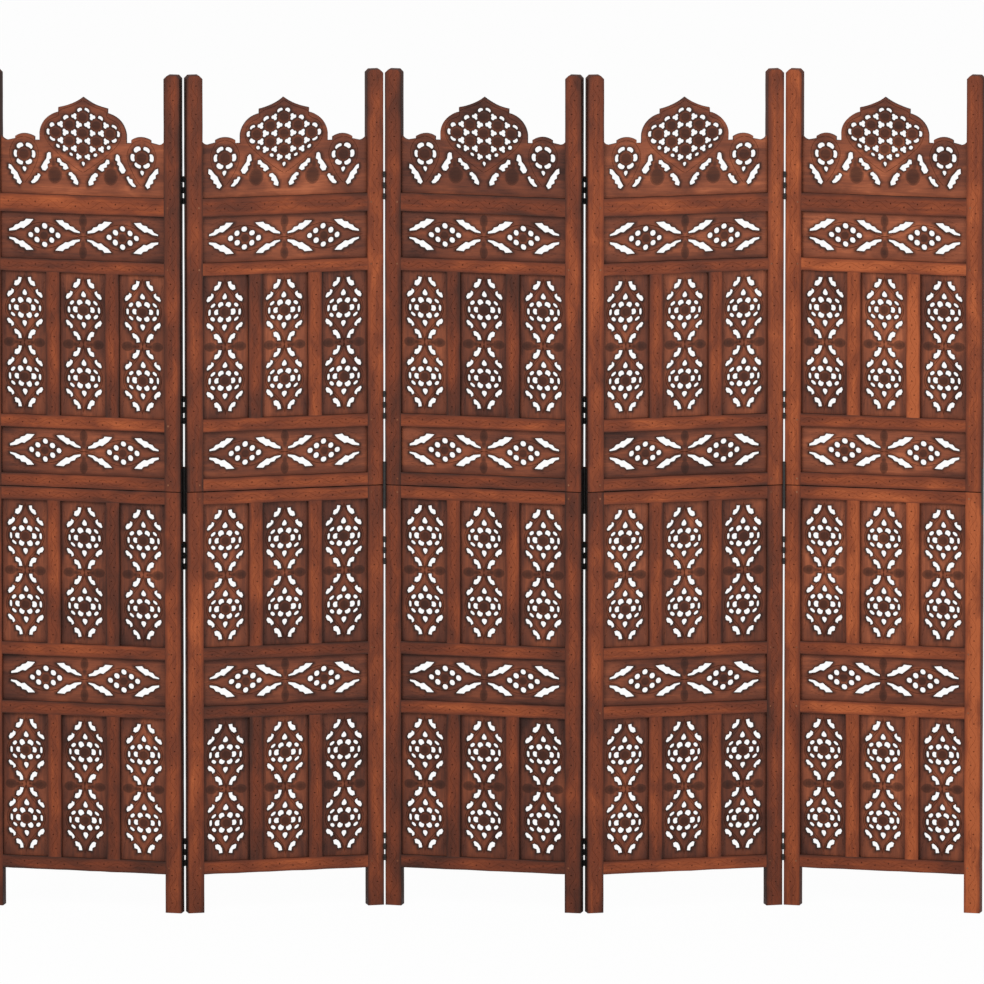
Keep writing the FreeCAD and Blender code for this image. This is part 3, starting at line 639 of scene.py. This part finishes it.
# One side of the line round the dome, and the buds under the dome, as place, two radii and rise
DOME_BAND = (
    (0, 44), (20, 57), (47, 78), (70, 101), (77.5, 122), (70, 143), (50, 154), (46, 165), (18, 176), (0, 187),
)
CREST_BUDS = ((56, 39, 17, 21, 0.6), (58.7, 62, 6, 13, 0.4))


def crest_edge(sign):
    """One side of the crest's edge, from its foot in the top rail up to the point."""
    at = {name: (sign * x, y) for name, (x, y) in CREST_EDGE.items()}
    corner = (sign * CREST_SIDE[0], CREST_SIDE[1])
    edge = [(corner[0] + sign * TONGUE, -TONGUE), (corner[0] + sign * TONGUE, corner[1])]
    edge += arc(corner, at["side_hollow"], at["dip"], 4)
    edge += [at["dip"], at["arch_foot"]]
    edge += arc(at["arch_outer"], at["arch_top"], at["arch_inner"], 8)
    edge += [at["arch_inner"], at["valley_outer"], at["valley_inner"]]
    edge += arc(at["dome_side"], at["dome_swell"], at["dome_shoulder"], 12)
    edge += [at["dome_shoulder"]]
    edge += arc(at["step"], at["ogee_hollow"], at["apex"], 8)
    return edge


def lattice_bosses():
    """Places of the nine bosses of the lattice: one in the middle and eight about it."""
    column = LATTICE_PITCH * cos(radians(30))
    bosses = [(0, LATTICE_HEIGHT)]
    for sign in (-1, 1):
        bosses += [(0, LATTICE_HEIGHT + sign * LATTICE_PITCH), (sign * 2 * column, LATTICE_HEIGHT)]
        bosses += [(sign * column, LATTICE_HEIGHT + up * LATTICE_PITCH / 2) for up in (-1, 1)]
    return bosses


def lattice_holes(hand):
    """Three-lobed cuts between the bosses, bent slots round the rim above and beads below."""
    step = LATTICE_PITCH / (2 * cos(radians(30)))
    places = {}
    for x, y in lattice_bosses():
        for sixth in range(6):
            turn = sixth * pi / 3
            key = (round(x + step * cos(turn), 1), round(y + step * sin(turn), 1))
            places.setdefault(key, []).append((x, y, turn))
    holes = []
    for (x, y), near in places.items():
        boss_x, boss_y, turn = near[0]
        if len(near) > 1 or y < LOWEST_SLOT:
            reach = INNER_TREFOIL if len(near) == 3 else OUTER_TREFOIL
            holes.append(trefoil(x, y, hand.size(reach), turn))
        else:
            reach, width = (hand.size(amount) for amount in RIM_SLOT)
            holes.append(bean(boss_x, boss_y, reach, width, turn, LATTICE_BOSS + BOSS_LEDGE))
    for sign in (-1, 1):
        for x, fall, length, width, slant in LATTICE_BEADS:
            holes.append(oval(sign * x, LATTICE_HEIGHT - fall, hand.size(length), hand.size(width),
                              sign * radians(slant)))
    length, width = (hand.size(amount) for amount in LATTICE_DROP)
    holes.append(drop(0, LATTICE_HEIGHT - LATTICE_DROP_FALL, length, width, -pi / 2))
    return holes


# Leaf cuts of one side of the crest, from its foot corner to its middle
CREST_LEAVES = (
    ((150.4, 57), (144, 54.6), (137, 45.4), (131.6, 40.4), (128.6, 32.4), (122.6, 22), (127.4, 16),
     (134, 19.4), (134.2, 24.8), (140.6, 28.2), (140.4, 34.2), (146.2, 38), (145.8, 44.2), (150.6, 48)),
    ((106, 22), (104, 19), (98, 20), (90.5, 26.5), (85.6, 35.8), (87.5, 39.5), (92.6, 40), (93.6, 35.4),
     (99.2, 34), (100.4, 28.6)),
    ((69.5, 82.5), (65, 81), (63.4, 70), (67.6, 66.8), (66.6, 61.2), (71.4, 58), (70.6, 52), (76.4, 44.5),
     (83, 45.5), (86.2, 52), (80.5, 61.5), (75.4, 68.5), (73.6, 78.5)),
    ((52.6, 70.4), (46.6, 71.2), (42, 64), (33.4, 59.4), (28.6, 52), (36.5, 47.4), (42.2, 49.8),
     (41.4, 54.4), (48, 56.4), (47.4, 61), (53.2, 62.6)),
    ((29.4, 43), (23.4, 44.8), (15.4, 37.4), (9.4, 25), (10.6, 18.6), (16.4, 20), (21.2, 23), (20.2, 27.8),
     (26, 31), (25, 35.6), (29.8, 38.4)),
)


def crest_holes(hand):
    """The holes of a crest: its lattice, then each side's medallion and leaf cuts."""
    holes = lattice_holes(hand)
    for sign in (-1, 1):
        middle_x, middle_y = sign * MEDALLION[0], MEDALLION[1]
        for sixth in range(6):
            reach, width = (hand.size(amount) for amount in MEDALLION_PETAL)
            holes.append(bean(middle_x, middle_y, reach, width, sixth * pi / 3, MEDALLION_BOSS + BOSS_LEDGE))
        length, width = (hand.size(amount) for amount in MEDALLION_DROP)
        holes.append(drop(middle_x, middle_y - MEDALLION_DROP_FALL, length, width, -pi / 2))
        for outline in CREST_LEAVES:
            holes.append(freehand(outline, (sign, 1), (0, 0), hand))
    return holes


def crest_board(seed):
    """A crest with its piercings, bosses, buds and incised lines, set out by a hand of its own."""
    hand = Hand(seed)
    outline = crest_edge(1) + [CREST_EDGE["apex"]] + crest_edge(-1)[::-1]
    holes = crest_holes(hand)
    board = sawn_board("crest", outline, holes)
    domes = [(x, y, LATTICE_BOSS, LATTICE_BOSS, BOSS_RISE) for x, y in lattice_bosses()]
    for sign in (-1, 1):
        domes.append((sign * MEDALLION[0], MEDALLION[1], MEDALLION_BOSS, MEDALLION_BOSS, BOSS_RISE))
        domes += [(sign * x, y, *dome) for x, y, *dome in CREST_BUDS]
    raise_domes(board, domes, PANEL_FACE)
    for sign in (-1, 1):
        band = stroke((0, 0), (sign, 1), DOME_BAND)
        incise(board, [(smooth(band), BAND_CUT)], PANEL_FACE)
    for side in (-1, 1):
        rings = []
        for sign in (-1, 1):
            line = stroke((sign * MEDALLION[0], MEDALLION[1]), (side, 1), MEDALLION_RING)
            rings.append((smooth(line), BAND_CUT))
        incise(board, rings, PANEL_FACE)
    return finish_board(board, holes)


# Frame timbers: a planed bar with a vine, its leaves and punched eyes along each face
VINE_MARGIN = 6
HALF_WAVE = 27.5
STEM_STEPS = 7

# The vine's swing as a share of the bar's width, and as shares of that swing where its eyes and leaves lie
VINE_SWING = 0.2
EYE_PLACE = 0.45
EYE_REACH = 2.2
VINE_LEAF = ((0.6, 5), (1.1, 8.5), (1.25, 13))


def vine(piece, width, length, thickness, flip):
    """Cut a waving stem along a bar that lies along y, with two leaves and an eye in each half wave."""
    whole_run = length - 2 * VINE_MARGIN
    half_waves = max(2, round(whole_run / HALF_WAVE))
    run = whole_run / half_waves
    swing = VINE_SWING * width * flip
    face = thickness / 2
    stem = []
    for step in range(half_waves * STEM_STEPS + 1):
        along = step / STEM_STEPS
        stem.append((swing * sin(pi * along), run * (along - half_waves / 2)))
    incise(piece, [(stem, STEM_CUT)], face)
    cuts = []
    for wave in range(half_waves):
        side = swing * (1 if wave % 2 == 0 else -1)
        middle = run * (wave + 0.5 - half_waves / 2)
        eye = -side * EYE_PLACE
        cuts.append(([(eye - EYE_REACH, middle), (eye, middle), (eye + EYE_REACH, middle)], EYE_CUT))
        for up in (-1, 1):
            cuts.append((stroke((0, middle), (-side, up), VINE_LEAF), VEIN_CUT))
    incise(piece, cuts, face)


def timber(name, width, length, thickness, flip, horn=False):
    """A planed bar along y with softened arrises, cut into short lengths so that its edges can wander."""
    bpy.ops.object.select_all(action="DESELECT")
    bpy.ops.mesh.primitive_cube_add(size=1, scale=(width, length, thickness))
    bar = bpy.context.object
    bar.name = name
    bpy.ops.object.transform_apply(location=True, rotation=True, scale=True)
    if horn:
        bevel_where(bar, lambda a, b: a.y > 0 and b.y > 0 and a.x == b.x, HORN_CHAMFER, segments=1)
    bevel_where(bar, lambda a, b: True, ARRIS, segments=3)
    select_edges(bar, lambda a, b: abs(a.y - b.y) > length / 2)
    bpy.ops.mesh.subdivide(number_cuts=max(1, round(length / WANDER_STEP)))
    bpy.ops.object.mode_set(mode="OBJECT")
    vine(bar, width, length, thickness, flip)
    return finish_bench(bar, thickness / 2)


def lay_across(bar):
    """Turn a bar that was carved along y to lie along x."""
    bar.data.transform(Matrix.Rotation(pi / 2, 4, "Z"))
    return bar


def peg():
    """A round peg, a hair proud of both faces of a stile, with its rims rubbed down."""
    bpy.ops.object.select_all(action="DESELECT")
    bpy.ops.mesh.primitive_cylinder_add(vertices=14, radius=PEG_RADIUS, depth=FRAME_THICKNESS + 2 * PEG_PROUD)
    pin = bpy.context.object
    pin.name = "peg"
    top = FRAME_THICKNESS / 2
    bevel_where(pin, lambda a, b: a.z * b.z > 0 and abs(a.z) > top, PEG_PROUD, segments=1)
    return finish_bench(pin, top)


# Standing the pieces in their leaves: each takes its figure from its own place in a log of this length
MILLIMETRE = 0.001
LOG_LENGTH = 9000

hand_of_time = random.Random(7)


def stand(leaf):
    """From the bench to a leaf's place in the row."""
    low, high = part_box(f"leaf_{leaf}_crest")
    middle = (low + high) / 2
    turn = -FOLD if leaf % 2 else FOLD
    return (Matrix.Translation((middle.x, middle.y, 0)) @ Matrix.Rotation(turn, 4, "Z")
            @ Matrix.Rotation(pi / 2, 4, "X") @ Matrix.Scale(MILLIMETRE, 4))


# How much lighter than the others the stain of each leaf came out, as a share of the spread between boards
LEAF_TONE = {1: -0.1, 2: -0.15, 3: -0.2, 4: 0, 5: 0.5}


def note(mesh, name, vectors):
    """Keep a vector for each point of a mesh, for its material to read."""
    mesh.attributes.new(name, "FLOAT_VECTOR", "POINT").data.foreach_set("vector", vectors.ravel())


def copy_to(leaf, master, x, y, along_x, wander=WANDER, end_for_end=False):
    """Copy a carved piece to its place in a leaf, with a wander and a figure of its own."""
    piece = master.copy()
    piece.data = master.data.copy()
    bpy.context.scene.collection.objects.link(piece)
    mesh = piece.data
    if end_for_end:
        mesh.transform(Matrix.Rotation(pi, 4, "Z"))
    count = len(mesh.vertices)
    places = np.empty(count * 3, np.float32)
    mesh.vertices.foreach_get("co", places)
    places = places.reshape(-1, 3)
    grain = places[:, [0, 1, 2]] if along_x else places[:, [1, 0, 2]]
    rims = grain / np.abs(grain).max(axis=0)
    figure = grain + np.array([hand_of_time.uniform(0, LOG_LENGTH) for _ in range(3)], np.float32)
    tone = np.tile(np.array([hand_of_time.uniform(0, 1) for _ in range(3)], np.float32), (count, 1))
    tone[:, 0] += LEAF_TONE[leaf]
    moved = places.copy()
    for length in WANDER_LENGTHS:
        for axis in (0, 1):
            heading = hand_of_time.uniform(0, 2 * pi)
            phase = hand_of_time.uniform(0, 2 * pi)
            wave = (places[:, 0] * cos(heading) + places[:, 1] * sin(heading)) * 2 * pi / length + phase
            moved[:, axis] += wander / len(WANDER_LENGTHS) * np.sin(wave)
    moved[:, 0] += x
    moved[:, 1] += y
    mesh.vertices.foreach_set("co", moved.ravel())
    note(mesh, "figure", figure)
    note(mesh, "tone", tone)
    note(mesh, "rims", rims)
    mesh.update()
    return piece


def gather(name, pieces, leaf, nodes, finish):
    """Join the copies of one kind into a leaf's piece, and stand it where its node is."""
    bpy.ops.object.select_all(action="DESELECT")
    for piece in pieces:
        piece.select_set(True)
    bpy.context.view_layer.objects.active = pieces[0]
    if len(pieces) > 1:
        bpy.ops.object.join()
    whole = bpy.context.object
    whole.name = f"leaf_{leaf}_{name}"
    whole.data.name = whole.name
    whole.data.transform(stand(leaf))
    whole.data.materials.clear()
    whole.data.materials.append(finish)
    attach(whole, f"leaf_{leaf}")
    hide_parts(*(f"leaf_{leaf}_{node}" for node in nodes))


# Finishes


def srgb(code):
    """A linear colour from an sRGB hex value."""
    channels = [int(code[place:place + 2], 16) / 255 for place in (1, 3, 5)]
    return [c / 12.92 if c <= 0.04045 else ((c + 0.055) / 1.055) ** 2.4 for c in channels] + [1]


def add(tree, kind, sockets=None, **settings):
    """Add a node with its settings. Each named or numbered socket takes a value or another's output."""
    node = tree.nodes.new("ShaderNode" + kind)
    for name, setting in settings.items():
        setattr(node, name, setting)
    for name, source in (sockets or {}).items():
        if isinstance(source, bpy.types.NodeSocket):
            tree.links.new(source, node.inputs[name])
        else:
            node.inputs[name].default_value = source
    return node


def blank(name):
    """A new material, its node tree and its shader."""
    material = bpy.data.materials.new(name)
    material.use_nodes = True
    tree = material.node_tree
    return material, tree, tree.nodes["Principled BSDF"]


# Streaks along the grain, in millimetres, and the dark colour put in cuts and round piercings: painted shade
# as well as gathered staining
FIGURE_LENGTH, FIGURE_WIDTH = 150, 8
FIBRE_LENGTH, FIBRE_WIDTH = 34, 1.6
PATCH_LENGTH, PATCH_WIDTH = 105, 42
GATHERED_STAIN_AND_SHADE = "#2A1711"
RIM_SHADE_AND_STAIN = 0.95
DARKEST_LEVEL = 0.38


def stained_mango(name, shades, depth, spread):
    """Mango wood, wiped with red-brown staining and waxed: streaky along the grain, darker towards the ends,
    rubbed lighter in patches, with a low satin sheen. Painted shade darkens each board along its long sides,
    round each piercing, on its sawn walls and in every cut, where staining gathers as well. Depth is how
    much the dark colour covers, and spread is how much boards differ."""
    material, tree, shader = blank(name)
    figure = add(tree, "Attribute", attribute_name="figure").outputs["Vector"]
    tone = add(tree, "SeparateXYZ", {0: add(tree, "Attribute", attribute_name="tone").outputs["Vector"]})
    rims = add(tree, "SeparateXYZ", {0: add(tree, "Attribute", attribute_name="rims").outputs["Vector"]})
    # The face darkening: painted shade with gathered staining on walls and in cuts, and darker bosses
    stain_and_shade = add(tree, "Attribute", attribute_name="stain_and_shade").outputs["Fac"]
    near_cut = add(tree, "Attribute", attribute_name="near_cut").outputs["Fac"]

    def streaks(length, width, detail):
        """Noise that is drawn out along the grain."""
        place = add(tree, "Mapping", {"Vector": figure, "Scale": (1 / length, 1 / width, 1 / width)})
        return add(tree, "TexNoise", {"Vector": place.outputs[0], "Scale": 1, "Detail": detail,
                                      "Roughness": 0.6, "Distortion": 0.5}).outputs[0]

    rings = streaks(FIGURE_LENGTH, FIGURE_WIDTH, 4)
    fibres = streaks(FIBRE_LENGTH, FIBRE_WIDTH, 2)
    patches = streaks(PATCH_LENGTH, PATCH_WIDTH, 3)

    def total(*terms):
        """Sum of outputs, each times its weight."""
        running = None
        for source, weight in terms:
            sockets = {0: source, 1: weight, 2: running if running else 0}
            running = add(tree, "Math", sockets, operation="MULTIPLY_ADD").outputs[0]
        return running

    def times(first, second):
        return add(tree, "Math", {0: first, 1: second}, operation="MULTIPLY").outputs[0]

    end_share = times(times(rims.outputs[0], rims.outputs[0]), tone.outputs[2])
    # Painted shade: each board is coloured darker towards its long sides than in its middle, as light falls
    # off round rounded edges
    across = times(rims.outputs[1], rims.outputs[1])
    lightness = total(
        (patches, 1.15),
        (rings, 0.55),
        (fibres, 0.35),
        (tone.outputs[0], spread),
        (end_share, -0.3),
        (times(across, across), -0.4),
    )
    least = DARKEST_LEVEL + spread / 2
    level = add(tree, "MapRange", {"Value": lightness, "From Min": least, "From Max": least + 1}).outputs[0]
    ramp = add(tree, "ValToRGB", {0: level})
    stops = ramp.color_ramp.elements
    while len(stops) < len(shades):
        stops.new(0.5)
    for stop, (place, code) in zip(stops, shades):
        stop.position = place
        stop.color = srgb(code)
    # One dark colour for painted shade and gathered staining together, on walls, in cuts and round each
    # piercing
    gathered = add(tree, "Math", {0: stain_and_shade, 1: times(near_cut, RIM_SHADE_AND_STAIN)}, operation="MAXIMUM").outputs[0]
    mixing = {0: times(gathered, depth), 6: ramp.outputs[0], 7: srgb(GATHERED_STAIN_AND_SHADE)}
    colour = add(tree, "Mix", mixing, data_type="RGBA")
    tree.links.new(colour.outputs[2], shader.inputs["Base Color"])
    gloss = add(tree, "MapRange", {"Value": fibres, "To Min": 0.4, "To Max": 0.62})
    tree.links.new(gloss.outputs[0], shader.inputs["Roughness"])
    relief = add(tree, "Bump", {"Strength": 0.35, "Distance": 0.0004, "Height": fibres})
    tree.links.new(relief.outputs[0], shader.inputs["Normal"])
    shader.inputs["IOR"].default_value = 1.5
    shader.inputs["Specular IOR Level"].default_value = 0.18
    return material


FRAME_SHADES = ((0, "#3E241C"), (0.3, "#5C2F20"), (0.55, "#743923"), (0.8, "#8F4829"), (1, "#AA5932"))
PANEL_SHADES = ((0, "#38211B"), (0.3, "#583125"), (0.55, "#723E2B"), (0.8, "#8E4E34"), (1, "#AC6241"))
PEG_SHADES = ((0, "#5E3322"), (0.5, "#7C462D"), (1, "#A27052"))
BRUSH_MARK = 0.004


def black_steel():
    """Mild steel, brush-painted black: nearly black, semi-gloss and a little uneven in the paint."""
    material, tree, shader = blank("black_painted_steel")
    place = add(tree, "TexCoord").outputs["Object"]
    brushed = add(tree, "TexNoise", {"Vector": place, "Scale": 1 / BRUSH_MARK, "Detail": 3}).outputs[0]
    tint = add(tree, "Mix", {0: brushed, 6: srgb("#141313"), 7: srgb("#2A2725")}, data_type="RGBA")
    tree.links.new(tint.outputs[2], shader.inputs["Base Color"])
    gloss = add(tree, "MapRange", {"Value": brushed, "To Min": 0.35, "To Max": 0.6})
    tree.links.new(gloss.outputs[0], shader.inputs["Roughness"])
    relief = add(tree, "Bump", {"Strength": 0.2, "Distance": 0.0003, "Height": brushed})
    tree.links.new(relief.outputs[0], shader.inputs["Normal"])
    return material


# The masters, each carved once

TALL_MASTERS = [tall_panel(seed) for seed in range(3)]
WIDE_MASTERS = [wide_panel(seed) for seed in range(2)]
CREST_MASTERS = [crest_board(seed) for seed in range(2)]
MUNTINS = [timber("muntin", MUNTIN_WIDTH, MUNTIN_LENGTH, MUNTIN_THICKNESS, flip) for flip in (-1, 1)]
RAILS = [lay_across(timber("rail", RAIL_HEIGHT, RAIL_LENGTH, RAIL_THICKNESS, flip)) for flip in (-1, 1)]
TOP_RAIL = lay_across(timber("top_rail", TOP_RAIL_HEIGHT, RAIL_LENGTH, RAIL_THICKNESS, 1))
STILES = {}
for half, (bottom, top) in HALF_SPAN.items():
    for side in (-1, 1):
        STILES[half, side] = timber(f"{half}_stile", SEEN_STILE_WIDTH, top - bottom, FRAME_THICKNESS, side,
                                    horn=half == "upper")
PEG = peg()
MASTERS = TALL_MASTERS + WIDE_MASTERS + CREST_MASTERS + MUNTINS + RAILS + [TOP_RAIL, *STILES.values(), PEG]

frame_wood = stained_mango("stained_mango_frame", FRAME_SHADES, depth=0.7, spread=0.34)
panel_wood = stained_mango("stained_mango_panels", PANEL_SHADES, depth=0.9, spread=0.2)
peg_wood = stained_mango("stained_mango_pegs", PEG_SHADES, depth=0.2, spread=0.34)
steel = black_steel()


def courses(half):
    """Each course of a half from the bottom up, with the height of its middle."""
    level = HALF_START[half]
    for kind in COURSES[half]:
        yield kind, level + COURSE_HEIGHT[kind] / 2
        level += COURSE_HEIGHT[kind]


for leaf in LEAVES:
    choose = random.Random(100 + leaf)
    kinds = {"tall_panels": [], "wide_panels": [], "rails": [], "muntins": [], "joint_pegs": []}
    for half in COURSES:
        for kind, middle in courses(half):
            if kind == "tall":
                for column in (-1, 0, 1):
                    board = copy_to(leaf, choose.choice(TALL_MASTERS), column * COLUMN_PITCH, middle, False,
                                    end_for_end=choose.random() < 0.5)
                    kinds["tall_panels"].append(board)
                for side in (-1, 1):
                    bar = copy_to(leaf, choose.choice(MUNTINS), side * COLUMN_PITCH / 2, middle, False)
                    kinds["muntins"].append(bar)
            elif kind == "wide":
                board = copy_to(leaf, choose.choice(WIDE_MASTERS), 0, middle, True,
                                end_for_end=choose.random() < 0.5)
                kinds["wide_panels"].append(board)
            else:
                master = TOP_RAIL if kind == "top_rail" else choose.choice(RAILS)
                kinds["rails"].append(copy_to(leaf, master, 0, middle, True))
                for side in (-1, 1):
                    pin = copy_to(leaf, PEG, side * PEG_PLACE, middle, False, wander=0)
                    kinds["joint_pegs"].append(pin)
    gather("tall_boards", kinds["tall_panels"], leaf, ["tall_panels"], panel_wood)
    gather("wide_boards", kinds["wide_panels"], leaf, ["wide_panels"], panel_wood)
    gather("cross_rails", kinds["rails"], leaf, ["rails"], frame_wood)
    gather("short_muntins", kinds["muntins"], leaf, ["muntins"], frame_wood)
    gather("pegs", kinds["joint_pegs"], leaf, ["joint_pegs"], peg_wood)
    board = copy_to(leaf, choose.choice(CREST_MASTERS), 0, CREST_BASE, True)
    gather("crest_board", [board], leaf, ["crest"], panel_wood)
    for half, (bottom, top) in HALF_SPAN.items():
        middle = (bottom + top) / 2
        uprights = [copy_to(leaf, STILES[half, side], side * STILE_PLACE, middle, False, STILE_WANDER)
                    for side in (-1, 1)]
        gather(f"{half}_uprights", uprights, leaf, [f"{half}_stiles"], frame_wood)

for master in MASTERS:
    bpy.data.objects.remove(master)

# The steel stays as the frame has it, painted black
STEEL_PARTS = ("hinge", "screws", "strap")
for name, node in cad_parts.items():
    if any(part in name for part in STEEL_PARTS):
        node.data.materials.clear()
        node.data.materials.append(steel)

# Stage, light and camera: floor and backdrop look white to the camera, and light the wood more softly
FLOOR_SIZE = 60
FLOOR_GLOW = 0.97
BACKDROP_LIGHT = 0.42

bpy.ops.object.select_all(action="DESELECT")
bpy.ops.mesh.primitive_plane_add(size=FLOOR_SIZE)
floor = bpy.context.object
floor.name = "floor"
material, tree, shader = blank("pale_floor")
shader.inputs["Base Color"].default_value = srgb("#F2F2F2")
shader.inputs["Roughness"].default_value = 0.9
seen = add(tree, "LightPath")
glow = add(tree, "Emission", {"Color": (1, 1, 1, 1), "Strength": 1})
share = add(tree, "Math", {0: seen.outputs["Is Camera Ray"], 1: FLOOR_GLOW}, operation="MULTIPLY")
mixed = add(tree, "MixShader", {0: share.outputs[0], 1: shader.outputs[0], 2: glow.outputs[0]})
tree.links.new(mixed.outputs[0], tree.nodes["Material Output"].inputs["Surface"])
floor.data.materials.append(material)

world = bpy.data.worlds.new("studio")
bpy.context.scene.world = world
world.use_nodes = True
tree = world.node_tree
tree.nodes["Background"].inputs["Color"].default_value = (1, 1, 1, 1)
seen = add(tree, "LightPath")
level = add(tree, "MapRange", {"Value": seen.outputs["Is Camera Ray"], "To Min": BACKDROP_LIGHT, "To Max": 1})
tree.links.new(level.outputs[0], tree.nodes["Background"].inputs["Strength"])


def lamp(name, place, aim, size, watts):
    """A square area light at a place, turned to what it lights."""
    light = bpy.data.lights.new(name, "AREA")
    light.size = size
    light.energy = watts
    thing = bpy.data.objects.new(name, light)
    thing.location = place
    thing.rotation_euler = (Vector(aim) - Vector(place)).to_track_quat("-Z", "Y").to_euler()
    bpy.context.scene.collection.objects.link(thing)


lamp("key", place=(-2.2, -4.2, 4.2), aim=(0, 0, 0.9), size=2.5, watts=180)
lamp("fill", place=(3.4, -4.6, 2.2), aim=(0, 0, 0.8), size=3, watts=75)

# The photograph is a front view from a little above, so far off that its lines stay parallel
IMAGE = 984
PIXELS_PER_METRE = 513.7
ELEVATION = radians(9.5)
CAMERA_DISTANCE = 40
AIM = Vector((0.015, 0, 0.824))
SENSOR = 36

camera = bpy.data.cameras.new("camera")
camera.sensor_width = SENSOR
camera.lens = SENSOR * CAMERA_DISTANCE * PIXELS_PER_METRE / IMAGE
camera.clip_end = 3 * CAMERA_DISTANCE
viewer = bpy.data.objects.new("camera", camera)
viewer.location = AIM + CAMERA_DISTANCE * Vector((0, -cos(ELEVATION), sin(ELEVATION)))
viewer.rotation_euler = (pi / 2 - ELEVATION, 0, 0)
bpy.context.scene.collection.objects.link(viewer)
bpy.context.scene.camera = viewer
bpy.context.scene.view_settings.view_transform = "Standard"
